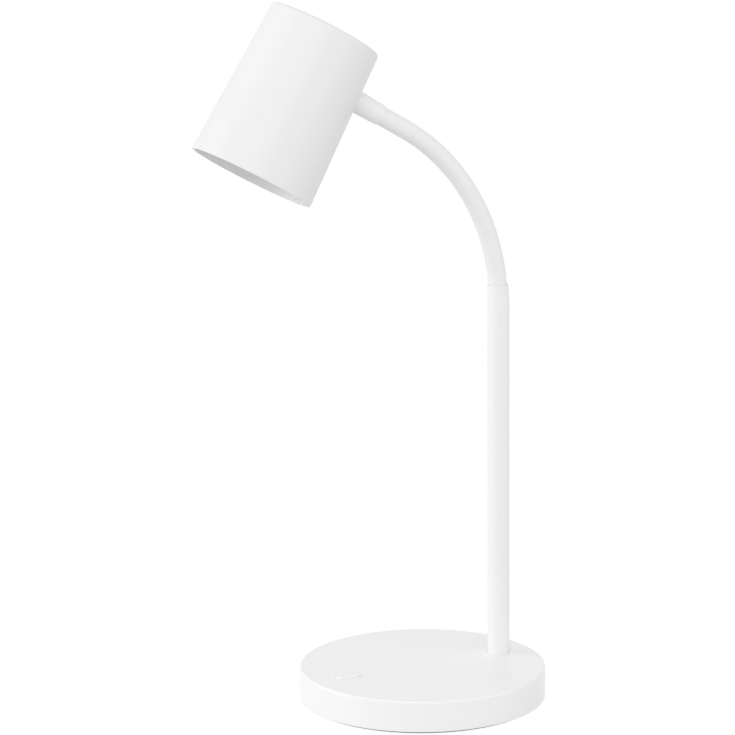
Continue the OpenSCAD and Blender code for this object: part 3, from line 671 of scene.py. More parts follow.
def skin(rings: Sequence[Ring], joined: bool = False) -> Skin:
    """Make the closed skin through rings that have equally many points.

    Args:
        rings: The rings, in order.
        joined: Whether the last ring joins the first, as on a hollow tube. The two end rings are
            closed by a face each if it is False.

    Returns:
        The points and the faces.
    """
    count = len(rings[0])
    points = [point for ring in rings for point in ring]
    faces: list[list[int]] = []
    for first in range(len(rings) if joined else len(rings) - 1):
        second = (first + 1) % len(rings)
        for i in range(count):
            j = (i + 1) % count
            faces.append([first * count + i, first * count + j, second * count + j,
                          second * count + i])
    if not joined:
        faces.append(list(range(count))[::-1])
        faces.append([(len(rings) - 1) * count + i for i in range(count)])
    return points, faces


def several(name: str, skins: Sequence[Skin]) -> Piece:
    """Make one object of several separate skins.

    Args:
        name: The object's name.
        skins: The points and the faces of each skin.

    Returns:
        The object, in the scene.
    """
    points: list[Vector] = []
    faces: list[list[int]] = []
    for skin_points, skin_faces in skins:
        faces += [[len(points) + i for i in face] for face in skin_faces]
        points += skin_points
    return as_object(name, points, faces)


def dress(piece: Piece, finish: Finish) -> None:
    """Give an object one finish all over."""
    piece.data.materials.clear()
    piece.data.materials.append(finish.material())


# ---------- Small hardware ----------


@dataclass(frozen=True)
class Placing:
    """Where one of a node's like solids stands.

    Attributes:
        foot: The middle of its lower end.
        axis: The unit direction from there to its other end.
        length: The distance from end to end.
    """

    foot: Vector
    axis: Vector
    length: float

    def ring(self, height: float, radii: Sequence[float], turn: float = 0.0) -> Ring:
        """Return a ring round the axis, that far above the foot."""
        return around(self.foot + self.axis * height, self.axis, radii, turn)


def placings(node: str, axis: Vector) -> list[Placing]:
    """Find where each of a node's like solids stands.

    Args:
        node: The node.
        axis: The direction of the solids' axes, square to the lamp's X.

    Returns:
        One placing for each solid.
    """
    mesh = frame["nodes"][node].data
    keys = [tuple(round(x, PLACE_DIGITS) for x in vertex.co) for vertex in mesh.vertices]
    group = {key: {key} for key in keys}
    for edge in mesh.edges:
        first, second = (group[keys[i]] for i in edge.vertices)
        if first is not second:
            first |= second
            group.update(dict.fromkeys(second, first))
    found = []
    side = axis.cross(ACROSS)
    for members in {id(points): points for points in group.values()}.values():
        points = [Vector(member) for member in sorted(members)]
        spans = [(min(point.dot(way) for point in points), max(point.dot(way) for point in points))
                 for way in (ACROSS, side, axis)]
        foot = (ACROSS * sum(spans[0]) + side * sum(spans[1])) / 2 + axis * spans[2][0]
        found.append(Placing(foot, axis, spans[2][1] - spans[2][0]))
    return found


@dataclass(frozen=True)
class Screw:
    """A screw with a six-lobed drive and a rolled thread.

    Attributes:
        head_r: The head's radius.
        head_h: The head's height.
        shank_r: The thread's outer radius.
        sunk: Whether the head is countersunk.
        drive_r: The drive's middle radius.
        drive_lobe: How far the drive's lobes go to either side of that.
        drive_lobes: The number of lobes.
        drive_depth: The drive's depth.
        drive_floor: The size of the drive's floor, as a share of its size in the head's face.
        pitch: The distance from thread to thread.
        pitch_rings: The number of rings in one pitch.
        thread_depth: The depth of the thread.
        edge: The rounding of the head's edge.
        tip: The length of the tapered tip.
        tip_share: The share of the thread's radius that is left at the end of the tip.
        sides: The number of points round the screw.
    """

    head_r: float
    head_h: float
    shank_r: float
    sunk: bool = False
    drive_r: float = 1.0 * MM
    drive_lobe: float = 0.16 * MM
    drive_lobes: int = 6
    drive_depth: float = 0.9 * MM
    drive_floor: float = 0.85
    pitch: float = 0.9 * MM
    pitch_rings: int = 6
    thread_depth: float = 0.2 * MM
    edge: float = 0.2 * MM
    tip: float = 0.8 * MM
    tip_share: float = 0.6
    sides: int = 48

    def drive(self, share: float) -> list[float]:
        """Return the drive's outline, that share of its full size."""
        angles = (2 * math.pi * i / self.sides for i in range(self.sides))
        return [share * (self.drive_r + self.drive_lobe * math.cos(self.drive_lobes * angle))
                for angle in angles]

    def thread(self, height: float, share: float) -> list[float]:
        """Return the shank's outline at a height, its radius tapered to that share.

        Args:
            height: The height above the head's face.
            share: The share of the radius that is left, below 1 in the tapered tip.

        Returns:
            The distance of each point from the axis.
        """
        outline = []
        for i in range(self.sides):
            wave = math.cos(2 * math.pi * (height / self.pitch - i / self.sides))
            outline.append(share * self.shank_r - self.thread_depth * (0.5 - 0.5 * wave))
        return outline

    def head(self) -> list[tuple[float, float]]:
        """Return the corners of the head's profile.

        Returns:
            The height and the radius of each corner, from the face down.
        """
        edge, wide = self.edge, self.head_r
        face = [(0.0, wide - edge), (edge / 4, wide - edge / 4)]
        if self.sunk:
            return [*face, (edge / 2, wide - edge / 2), (self.head_h, self.shank_r)]
        return [*face, (edge, wide), (self.head_h, wide)]

    def rings(self, place: Placing) -> list[Ring]:
        """Return the screw's rings, from the bottom of its drive over the head to its tip.

        Args:
            place: Where the screw stands, its head at the foot.

        Returns:
            The rings.
        """
        rings = [place.ring(self.drive_depth, self.drive(self.drive_floor)),
                 place.ring(0.0, self.drive(1.0))]
        rings += [place.ring(height, [radius] * self.sides) for height, radius in self.head()]
        shank = place.length - self.head_h
        steps = math.ceil(shank / (self.pitch / self.pitch_rings))
        for step in range(1, steps + 1):
            height = self.head_h + shank * step / steps
            taper = (1 - self.tip_share) * (place.length - height) / self.tip
            rings.append(place.ring(height, self.thread(height, min(1.0, self.tip_share + taper))))
        return rings

    def build(self, name: str, node: str, axis: Vector, body: str) -> Piece:
        """Build the screws in place of a node's.

        Args:
            name: The piece's name.
            node: The node that they replace.
            axis: The direction from the heads to the tips.
            body: The body that they ride on.

        Returns:
            The piece.
        """
        screws = several(name, [skin(self.rings(place)) for place in placings(node, axis)])
        dress(screws, ZINC)
        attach(screws, body)
        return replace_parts(screws, node)


@dataclass(frozen=True)
class Led:
    """A surface-mounted LED: a square white package, and a low dome of phosphor in its round cup.

    Attributes:
        half: Half the package's side.
        corner: How square the package is: the power of its superellipse.
        bevel: The bevel of its face's edge, as a share of its size.
        cup_r: The cup's radius at the face.
        cup_floor_r: The cup's radius at its floor.
        cup_depth: The cup's depth.
        dome_share: The size of the phosphor's dome, as a share of the cup's floor.
        dome_rise: How far the dome rises, as a share of the cup's depth.
        dome_deg: The angles of the dome's rings on its round, from its top to its rim.
        sides: The number of points round the package.
    """

    half: float = 1.4 * MM
    corner: float = 9.0
    bevel: float = 0.03
    cup_r: float = 1.15 * MM
    cup_floor_r: float = 0.95 * MM
    cup_depth: float = 0.25 * MM
    dome_share: float = 0.98
    dome_rise: float = 0.8
    dome_deg: tuple[int, ...] = (80, 60, 40, 20, 0)
    sides: int = 48

    def square(self, share: float) -> list[float]:
        """Return the outline of the package.

        Args:
            share: The outline's size, as a share of the package's.

        Returns:
            The distance of each point from the middle.
        """
        outline = []
        for i in range(self.sides):
            angle = 2 * math.pi * i / self.sides
            total = sum(abs(way(angle)) ** self.corner for way in (math.cos, math.sin))
            outline.append(share * (self.half / total ** (1 / self.corner)))
        return outline

    def package(self, place: Placing, turn: float) -> Skin:
        """Return the skin of one package.

        Args:
            place: Where the LED stands, its face at the foot.
            turn: The angle that it is turned by.

        Returns:
            The points and the faces.
        """
        profile = ((self.cup_depth, [self.cup_floor_r] * self.sides),
                   (0.0, [self.cup_r] * self.sides),
                   (0.0, self.square(1 - self.bevel)),
                   (self.bevel * place.length, self.square(1.0)),
                   (place.length, self.square(1.0)))
        return skin([place.ring(height, radii, turn) for height, radii in profile])

    def phosphor(self, place: Placing) -> Skin:
        """Return the skin of the phosphor in one cup, a low dome that stays under the face.

        Args:
            place: Where the LED stands, its face at the foot.

        Returns:
            The points and the faces.
        """
        rings = []
        for angle in map(math.radians, self.dome_deg):
            radius = self.cup_floor_r * self.dome_share * math.cos(angle)
            depth = self.cup_depth * (1 - self.dome_rise * math.sin(angle))
            rings.append(place.ring(depth, [radius] * self.sides))
        return skin(rings)


# ---------- Sub-assemblies ----------


class SubAssembly:
    """One sub-assembly of the lamp."""

    title = "sub-assembly"

    def finishes(self) -> dict[str, Finish]:
        """Return the finish of each node of the model that this sub-assembly keeps."""
        return {}

    def build(self) -> list[Piece]:
        """Build the pieces that the model doesn't hold, and return them."""
        return []

    def make(self) -> None:
        """Build the pieces, dress the nodes, and report both."""
        for piece in self.build():
            LOG.info("%s: built %s", self.title, piece.name)
        for node, finish in self.finishes().items():
            dress(frame["nodes"][node], finish)
            LOG.info("%s: dressed %s in %s", self.title, node, finish.name)


@dataclass
class Base(SubAssembly):
    """The round base: cover, ballast, bottom plate and foot pad.

    Attributes:
        plate_screw: The screws of the bottom plate.
    """

    title = "base"

    plate_screw: Screw = Screw(head_r=2.8 * MM, head_h=1.5 * MM, shank_r=1.5 * MM, sunk=True)

    def build(self) -> list[Piece]:
        """Build the screws of the bottom plate."""
        return [self.plate_screw.build("plate_screw_set", "plate_screws", UP, "base")]

    def finishes(self) -> dict[str, Finish]:
        """Return the finish of each node of the base."""
        return {
            "foot_pad": PAD_FOAM,
            "bottom_plate": PLATE_ZINC,
            "ballast": BALLAST_IRON,
            "base_cover": COVER_PLASTIC,
        }


@dataclass
class KeySwitch(SubAssembly):
    """The long low key on the base, and the switch under it on its board.

    Attributes:
        board_screw: The screws of the control board.
        key_r: Half the width of the key's body.
        flange_lip: How far the key's flange reaches past its body.
        flange_t: The flange's thickness.
        stem_r: The radius of the stem's two round sides.
        stem_half: Half the length of its straight sides.
        stem_len: The length of the stem.
        squareness: The power of the superellipse that crowns the key. 2 is an ellipse.
        end_points: The number of points round one end of the key.
        crown_steps: The number of rings in the crown.
        crown_share: The share of its quarter turn that the crown makes before its flat top.
        dome_t: The thickness of the snap dome's sheet.
        dome_middle_r: The radius of the flat middle of the dome.
        dome_steps: The number of rings from the dome's rim to its middle.
        dome_sides: The number of points round the dome.
    """

    title = "key and switch"

    board_screw: Screw = Screw(head_r=2.2 * MM, head_h=1.6 * MM, shank_r=1.2 * MM)
    key_r: float = 2.6 * MM
    flange_lip: float = 1.6 * MM
    flange_t: float = 1.4 * MM
    stem_r: float = 1.5 * MM
    stem_half: float = 0.1 * MM
    stem_len: float = 1.4 * MM
    squareness: float = 2.3
    end_points: int = 25
    crown_steps: int = 12
    crown_share: float = 0.97
    dome_t: float = 0.08 * MM
    dome_middle_r: float = 0.05 * MM
    dome_steps: int = 8
    dome_sides: int = 36

    def outline(self, half: float, radius: float, height: float, middle_y: float) -> Ring:
        """Return a ring with two round ends and two straight sides along Y.

        Args:
            half: Half the length of a straight side.
            radius: The radius of an end.
            height: The ring's height.
            middle_y: Where the ring's middle lies.

        Returns:
            The ring's points.
        """
        points = []
        for end, start in ((1, 0.0), (-1, math.pi)):
            for i in range(self.end_points):
                angle = start + math.pi * i / (self.end_points - 1)
                y = middle_y + end * half + radius * math.sin(angle)
                points.append(Vector((radius * math.cos(angle), y, height)))
        return points

    def key(self) -> Piece:
        """Build the key: its stem, its flange under the cover, and its crowned body.

        Returns:
            The piece.
        """
        low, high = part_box("switch_key")
        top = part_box("base_cover")[1].z
        middle_y = (low.y + high.y) / 2
        half = (high.y - low.y) / 2 - self.key_r - self.flange_lip
        wide = self.key_r + self.flange_lip
        flange_z = low.z + self.stem_len
        stops = [(self.stem_half, self.stem_r, low.z), (self.stem_half, self.stem_r, flange_z),
                 (half, wide, flange_z), (half, wide, flange_z + self.flange_t),
                 (half, self.key_r, flange_z + self.flange_t)]
        power = 2 / self.squareness
        for step in range(self.crown_steps + 1):
            angle = self.crown_share * math.pi / 2 * step / self.crown_steps
            stops.append((half, self.key_r * math.cos(angle) ** power,
                          top + (high.z - top) * math.sin(angle) ** power))
        key = as_object("key_cap", *skin([self.outline(*stop, middle_y) for stop in stops]))
        dress(key, KEY_PLASTIC)
        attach(key, "key")
        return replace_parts(key, "switch_key")

    def dome(self) -> Piece:
        """Build the snap dome: a thin sheet that flattens as the key goes down.

        Returns:
            The piece.
        """
        low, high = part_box("snap_dome")
        rim, rise = (high.x - low.x) / 2, high.z - low.z
        foot = Vector(((low.x + high.x) / 2, (low.y + high.y) / 2, low.z))
        profile = [rim + (self.dome_middle_r - rim) * step / self.dome_steps
                   for step in range(self.dome_steps + 1)]
        rings = []
        for sunk, radii in ((self.dome_t, profile[::-1]), (0.0, profile)):
            for radius in radii:
                reach = radius * (1 - sunk / rim)
                height = (rise - sunk) * (1 - (radius / rim) ** 2)
                rings.append(around(foot + UP * height, UP, [reach] * self.dome_sides))
        piece = as_object("snap_dome_sheet", *skin(rings))
        dress(piece, DOME_STEEL)
        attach(piece, "base")
        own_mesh(piece)
        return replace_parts(piece, "snap_dome")

    def build(self) -> list[Piece]:
        """Build the key, the snap dome and the screws of the control board."""
        return [self.key(), self.dome(),
                self.board_screw.build("board_screw_set", "board_screws", UP, "base")]

    def finishes(self) -> dict[str, Finish]:
        """Return the finish of each node of the key, the switch and the control board."""
        return {
            "switch_plunger": PLUNGER_PLASTIC,
            "switch_body": BLACK_PLASTIC,
            "control_board": GREEN_BOARD,
            "board_parts": COMPONENT_PLASTIC,
            "lead_plugs": BUSH_PLASTIC,
        }


@dataclass
class PowerInlet(SubAssembly):
    """The power inlet in the base's rear, on its own small board.

    Attributes:
        contact_count: The number of contacts on each face of the inlet's tongue.
        contact_pitch: The distance from contact to contact.
        contact_w: The width of a contact.
        contact_t: How far a contact stands out of the tongue.
        contact_from: The distance from the inlet's mouth to a contact's front end.
        contact_to: The distance from the inlet's mouth to its rear end.
        tongue_t: The thickness of the tongue.
    """

    title = "power inlet"

    contact_count: int = 12
    contact_pitch: float = 0.5 * MM
    contact_w: float = 0.25 * MM
    contact_t: float = 0.03 * MM
    contact_from: float = 2.1 * MM
    contact_to: float = 5.6 * MM
    tongue_t: float = 0.7 * MM

    def build(self) -> list[Piece]:
        """Build the contacts on both faces of the tongue.

        Returns:
            The contacts, as one piece.
        """
        low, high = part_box("inlet_socket")
        middle = (low.z + high.z) / 2
        skins = []
        for i in range(self.contact_count):
            x = (i - (self.contact_count - 1) / 2) * self.contact_pitch
            for face in (-1, 1):
                skins.append(self.contact(x, high.y, middle + face * self.tongue_t / 2, face))
        contacts = several("inlet_contacts", skins)
        dress(contacts, CONTACT_GOLD)
        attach(contacts, "base")
        return [contacts]

    def contact(self, x: float, mouth: float, face_z: float, face: int) -> Skin:
        """Return the skin of one contact, a strip with a sloped front.

        Args:
            x: The middle of the strip.
            mouth: How far back the inlet's mouth lies.
            face_z: The height of the tongue's face.
            face: 1 on the tongue's upper face, -1 on the lower.

        Returns:
            The points and the faces.
        """
        half, sunk = self.contact_w / 2, self.contact_t
        rings = []
        for back, proud in ((self.contact_to, self.contact_t),
                            (self.contact_from + half, self.contact_t),
                            (self.contact_from, 0.0)):
            corners = ((-face, -sunk), (face, -sunk), (face, proud), (-face, proud))
            rings.append([Vector((x + side * half, mouth - back, face_z + face * height))
                          for side, height in corners])
        return skin(rings)

    def finishes(self) -> dict[str, Finish]:
        """Return the finish of each node of the inlet."""
        return {
            "inlet_board": GREEN_BOARD,
            "inlet_socket": ZINC,
            "inlet_lead": LEAD_SKIN,
        }


@dataclass
class Pole(SubAssembly):
    """The upright pole with the nut that holds it and the bush in its top."""

    title = "pole"

    def finishes(self) -> dict[str, Finish]:
        """Return the finish of each node of the pole."""
        return {
            "pole_tube": POLE_COAT,
            "pole_washer": ZINC,
            "pole_nut": NUT_BRASS,
            "pole_bush": BUSH_PLASTIC,
        }


@dataclass(frozen=True)
class Stop:
    """One corner of a section that is carried round the neck's axis.

    Attributes:
        s: How far it lies along the neck, from the bending place.
        radius: How far it lies from the neck's axis.
        ribbed: Whether the ribs of the wound hose stand on it.
    """

    s: float
    radius: float
    ribbed: bool = False


@dataclass(frozen=True)
class Layer:
    """One layer of the neck: the sleeve, the hose inside it, or the lead inside the hose.

    Attributes:
        kind: How the model's nodes name it, before the number of the length.
        finish: Its finish.
        slot: The name of a material slot; not used.
        radius: Its outer radius.
        bore_r: Its inner radius, or 0 where it is solid.
        sides: The number of points round it.
        ribbed: Whether it has the ribs of the wound hose.
        collared: Whether it starts in the root's collar, at the first bending place.
    """

    kind: str
    finish: Finish
    slot: str
    radius: float
    bore_r: float
    sides: int
    ribbed: bool = False
    collared: bool = False


@dataclass
class Neck(SubAssembly):
    """The flexible neck: a soft sleeve over a wound steel hose, with the lead inside.

    The model holds it as short straight lengths between bending places. Here each bending place
    gets one smooth stretch of each layer, from the middle of one length to the middle of the
    next. The collar that the neck grows out of is built round the first bending place.

    Attributes:
        places: The bending places, from the pole up.
        end: Where the neck's axis meets the shade's axis.
        pole_top: The height of the pole's top.
        stem_foot: The height of the lower end of the root's stem.
        pole_r: The outer radius of the pole.
        sleeve_r: The outer radius of the sleeve.
        hose_r: The outer radius of the steel hose.
        lead_r: The radius of the lead.
        collar_top_r: The radius of the root's collar at its top.
        collar_reach: How far the collar reaches past the first bending place.
        collar_edge: The rounding of the collar's top edge.
        edge_steps: The number of rings in that rounding.
        stem_r: The radius of the root's stem, which turns in the pole's bush.
        sleeve_bore_r: The inner radius of the sleeve.
        hose_bore_r: The inner radius of the steel hose.
        lead_turn_r: The radius of the lead's elbow under the pole.
        lead_turn_steps: The number of steps in the elbow.
        play: The gap between the sleeve and the collar round it.
        rib_pitch: The distance along the steel hose that its one rib climbs in each turn.
        rib_rings: The number of rings in that distance.
        rib_depth: How far a rib stands out.
        step: The distance from ring to ring where the neck bends.
        sides: The number of points round the sleeve and the root.
        hose_sides: The number of points round the hose.
        lead_sides: The number of points round the lead.
    """

    title = "neck"

    places: list[Vector]
    end: Vector
    pole_top: float
    stem_foot: float
    pole_r: float
    sleeve_r: float
    hose_r: float
    lead_r: float
    collar_top_r: float = 6.37 * MM
    collar_reach: float = 3.2 * MM
    collar_edge: float = 0.25 * MM
    edge_steps: int = 4
    stem_r: float = 3.95 * MM
    sleeve_bore_r: float = 4.35 * MM
    hose_bore_r: float = 1.9 * MM
    lead_turn_r: float = 3.0 * MM
    lead_turn_steps: int = 8
    play: float = 0.15 * MM
    rib_pitch: float = 2.1 * MM
    rib_rings: int = 6
    rib_depth: float = 0.35 * MM
    step: float = 1.2 * MM
    sides: int = 64
    hose_sides: int = 32
    lead_sides: int = 21

    @classmethod
    def from_frame(cls) -> Neck:
        """Read the neck's places and radii from the frame.

        Returns:
            The neck, not built yet.
        """
        return cls(
            places=[Vector(JOINTS[name]["pos_m"]) for name in BENDS],
            end=Vector(JOINTS["head_turn"]["pos_m"]),
            pole_top=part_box("pole_tube")[1].z,
            stem_foot=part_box("neck_root")[0].z,
            pole_r=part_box("neck_root")[1].x,
            sleeve_r=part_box("neck_sleeve_1")[1].x,
            hose_r=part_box("neck_hose_1")[1].x,
            lead_r=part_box("neck_lead_1")[1].x,
        )

    @property
    def layers(self) -> list[Layer]:
        """The layers of the neck, from the outside in."""
        return [
            Layer("neck_sleeve", NECK_SKIN, "white_sleeve", self.sleeve_r, self.sleeve_bore_r,
                  self.sides, collared=True),
            Layer("neck_hose", HOSE_STEEL, "hose_steel", self.hose_r, self.hose_bore_r,
                  self.hose_sides, ribbed=True),
            Layer("neck_lead", LEAD_SKIN, "lead_pvc", self.lead_r, 0.0, self.lead_sides),
        ]

    @property
    def bodies(self) -> list[str]:
        """The bodies that the neck joins, from the pole up."""
        return ["neck_swivel", *(f"neck_{k}" for k in range(1, len(self.places))), "neck_end"]

    @property
    def half(self) -> float:
        """Half the distance between two bending places."""
        return (self.places[1] - self.places[0]).length / 2

    def heading(self, k: int) -> Vector:
        """Return the direction of length k, where length 0 is the pole.

        Args:
            k: The length's number, from 0 to the number of bending places.

        Returns:
            A unit vector along the length, away from the pole.
        """
        if k == 0:
            return UP.copy()
        stops = [*self.places, self.end]
        return (stops[k] - stops[k - 1]).normalized()

    def station(self, k: int, s: float) -> tuple[Vector, Vector]:
        """Return a point of the neck's axis at bending place k, and the axis's direction there.

        The axis is an arc that touches both lengths in the middle, and is straight past it.

        Args:
            k: The bending place's number, from 1.
            s: The distance from the bending place, negative towards the pole.

        Returns:
            The point and the unit direction.
        """
        pivot, before, after = self.places[k - 1], self.heading(k - 1), self.heading(k)
        if s >= self.half:
            return pivot + after * s, after
        if s <= -self.half:
            return pivot + before * s, before
        bend = before.angle(after)
        radius = self.half / math.tan(bend / 2)
        turn = bend * (s + self.half) / (2 * self.half)
        inwards = Matrix.Rotation(math.pi / 2, 3, ACROSS) @ before
        start = pivot - before * self.half
        point = start + before * radius * math.sin(turn) + inwards * radius * (1 - math.cos(turn))
        return point, Matrix.Rotation(turn, 3, ACROSS) @ before

    def groove(self, s: float, angle: float) -> float:
        """Return how deep the groove is at a place and an angle: 0 on a rib, 1 between two."""
        phase = s / self.rib_pitch - angle / (2 * math.pi)
        return 1 - math.sqrt(0.5 + 0.5 * math.cos(2 * math.pi * phase))

    def ring(self, k: int, stop: Stop, sides: int) -> Ring:
        """Return the points of one ring round the neck's axis.

        Args:
            k: The bending place's number, from 1.
            stop: Where the ring lies, and how wide it is.
            sides: The number of points.

        Returns:
            The ring's points.
        """
        radii = [stop.radius] * sides
        if stop.ribbed:
            angles = (2 * math.pi * i / sides for i in range(sides))
            radii = [stop.radius - self.rib_depth * self.groove(stop.s, a) for a in angles]
        return around(*self.station(k, stop.s), radii)

    def stops(self, start: Stop, end: Stop, step: float) -> list[Stop]:
        """Return evenly spread stops from one stop to another.

        Args:
            start: The first stop. All are ribbed if it is.
            end: The last stop.
            step: The largest distance between two stops.

        Returns:
            The stops, both ends among them.
        """
        count = max(1, math.ceil(abs(end.s - start.s) / step))
        return [Stop(start.s + (end.s - start.s) * share,
                     start.radius + (end.radius - start.radius) * share, start.ribbed)
                for share in (i / count for i in range(count + 1))]

    def carried(self, name: str, k: int, section: Sequence[Stop], sides: int, hollow: bool = True,
                ) -> Piece:
        """Carry a section round the neck's axis, curved round bending place k.

        Args:
            name: The piece's name.
            k: The bending place's number, from 1.
            section: The section's corners, in order.
            sides: The number of points round the axis.
            hollow: Whether the section closes on itself. It ends in two flat faces if it doesn't.

        Returns:
            The piece.
        """
        piece = as_object(name, *skin([self.ring(k, stop, sides) for stop in section], hollow))
        pivot = self.places[k - 1]
        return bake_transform(piece, self.bodies[k - 1], self.bodies[k],
                        start=pivot - self.heading(k - 1) * self.half,
                        end=pivot + self.heading(k) * self.half)

    def far_end(self, layer: Layer) -> float:
        """Return how far past the last bending place a layer ends.

        Args:
            layer: The layer.

        Returns:
            The distance along the last length.
        """
        last = len(self.places)
        heading = self.heading(last)
        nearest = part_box(f"{layer.kind}_{last}")[0].y + layer.radius * heading.z
        return (nearest - self.places[-1].y) / heading.y

    def stretch(self, layer: Layer, k: int) -> Piece:
        """Build one layer's stretch at bending place k, which stands for a length of the model.

        Args:
            layer: The layer.
            k: The bending place's number, from 1.

        Returns:
            The piece.
        """
        start = 0.0 if layer.collared and k == 1 else -self.half
        end = self.far_end(layer) if k == len(self.places) else self.half
        step = self.rib_pitch / self.rib_rings if layer.ribbed else self.step
        outer = Stop(start, layer.radius, layer.ribbed), Stop(end, layer.radius)
        inner = Stop(end, layer.bore_r), Stop(start, layer.bore_r)
        hollow = layer.bore_r > 0
        section = self.stops(*outer, step) + (self.stops(*inner, self.step) if hollow else [])
        piece = self.carried(f"{layer.kind}_bend_{k}", k, section, layer.sides, hollow)
        dress(piece, layer.finish)
        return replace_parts(piece, f"{layer.kind}_{k}")

    def root(self) -> Piece:
        """Build the neck's root: the stem in the bush, and the collar the neck grows out of.

        Returns:
            The piece.
        """
        first = self.places[0].z
        foot, seam = self.stem_foot - first, self.pole_top - first
        top, edge, top_r = self.collar_reach, self.collar_edge, self.collar_top_r
        hole = self.sleeve_r + self.play
        section = [Stop(foot, self.hose_bore_r), Stop(foot, self.stem_r), Stop(seam, self.stem_r)]
        section += self.stops(Stop(seam, self.pole_r), Stop(top - edge, top_r), self.step)
        for i in range(1, self.edge_steps + 1):
            angle = math.pi / 2 / self.edge_steps * i
            section.append(Stop(top - edge + edge * math.sin(angle),
                                top_r - edge + edge * math.cos(angle)))
        section += [Stop(top, hole), Stop(0.0, hole)]
        section += self.stops(Stop(0.0, self.hose_r), Stop(-self.half, self.hose_r), self.step)
        section += [Stop(-self.half, self.hose_bore_r)]
        piece = self.carried("neck_root_collar", 1, section, self.sides)
        dress(piece, FITTING_COAT)
        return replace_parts(piece, "neck_root")

    def riser(self) -> Piece:
        """Build the lead that comes up the pole, to where the neck's first stretch starts.

        Returns:
            The piece.
        """
        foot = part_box("pole_lead")[0]
        pivot, turn, level = self.places[0], self.lead_turn_r, foot.z + self.lead_r
        path = [(Vector((0.0, foot.y, level)), UP.cross(ACROSS))]
        for i in range(self.lead_turn_steps + 1):
            angle = math.pi / 2 * i / self.lead_turn_steps
            along, up = math.sin(angle), math.cos(angle)
            path.append((Vector((0.0, pivot.y - turn * (1 - along), level + turn * (1 - up))),
                         Vector((0.0, up, along))))
        path.append((pivot - UP * (self.half + self.play), UP))
        radii = [self.lead_r] * self.lead_sides
        piece = as_object("pole_lead_run", *skin([around(*stop, radii) for stop in path]))
        dress(piece, LEAD_SKIN)
        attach(piece, "base")
        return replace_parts(piece, "pole_lead")

    def build(self) -> list[Piece]:
        """Build the root, the lead up the pole, and each layer at each bending place."""
        places = range(1, len(self.places) + 1)
        return [self.root(), self.riser(),
                *(self.stretch(layer, k) for k in places for layer in self.layers)]

    def finishes(self) -> dict[str, Finish]:
        """Return the finish of each node of the neck that stays."""
        return {
            "root_clip": SPRING_STEEL,
            "neck_tip": ZINC,
            "tip_clip": SPRING_STEEL,
        }


@dataclass
class Shade(SubAssembly):
    """The shade, the collar that the neck ends in, and the collar's nut."""

    title = "shade"

    def finishes(self) -> dict[str, Finish]:
        """Return the finish of each node of the shade."""
        return {
            "shade": SHADE_PLASTIC,
            "head_ferrule": FITTING_COAT,
            "ferrule_nut": NUT_BRASS,
        }


@dataclass
class Light(SubAssembly):
    """What makes and spreads the light: LEDs on their board, heat sink, reflector and diffuser.

    Attributes:
        led_screw: The screws of the LED board.
        led: The LEDs.
    """

    title = "light"

    led_screw: Screw = Screw(head_r=2.2 * MM, head_h=1.6 * MM, shank_r=1.25 * MM)
    led: Led = Led()

    def build(self) -> list[Piece]:
        """Build the LED board's screws, and the LEDs with their phosphor.

        Returns:
            The screws, the packages and the phosphor.
        """
        neck_way = Vector(JOINTS["head_turn"]["pos_m"]) - Vector(JOINTS[BENDS[-1]]["pos_m"])
        upwards = neck_way.normalized().cross(ACROSS)
        places = placings("leds", upwards)
        middle = sum((place.foot for place in places), Vector()) / len(places)
        side = upwards.cross(ACROSS)
        arms = [place.foot - middle for place in places]
        turns = [math.atan2(arm.dot(side), arm.x) for arm in arms]
        packages = several("led_packages", [self.led.package(place, turn)
                                            for place, turn in zip(places, turns)])
        domes = several("led_phosphor", [self.led.phosphor(place) for place in places])
        for piece, finish, slot in ((packages, LED_CERAMIC, "white_trim"),
                                    (domes, LED_PHOSPHOR, "led_yellow")):
            dress(piece, finish)
            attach(piece, "head")
        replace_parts(packages, "leds")
        screws = self.led_screw.build("led_screw_set", "led_screws", upwards, "head")
        return [screws, packages, domes]

    def finishes(self) -> dict[str, Finish]:
        """Return the finish of each node of the light."""
        return {
            "heat_sink": SINK_ALUMINIUM,
            "led_board": WHITE_BOARD,
            "head_lead": LEAD_SKIN,
            "reflector": TRIM_PLASTIC,
            "diffuser": DIFFUSER_OPAL,
            "diffuser_ring": TRIM_PLASTIC,
        }


# ---------- Studio ----------


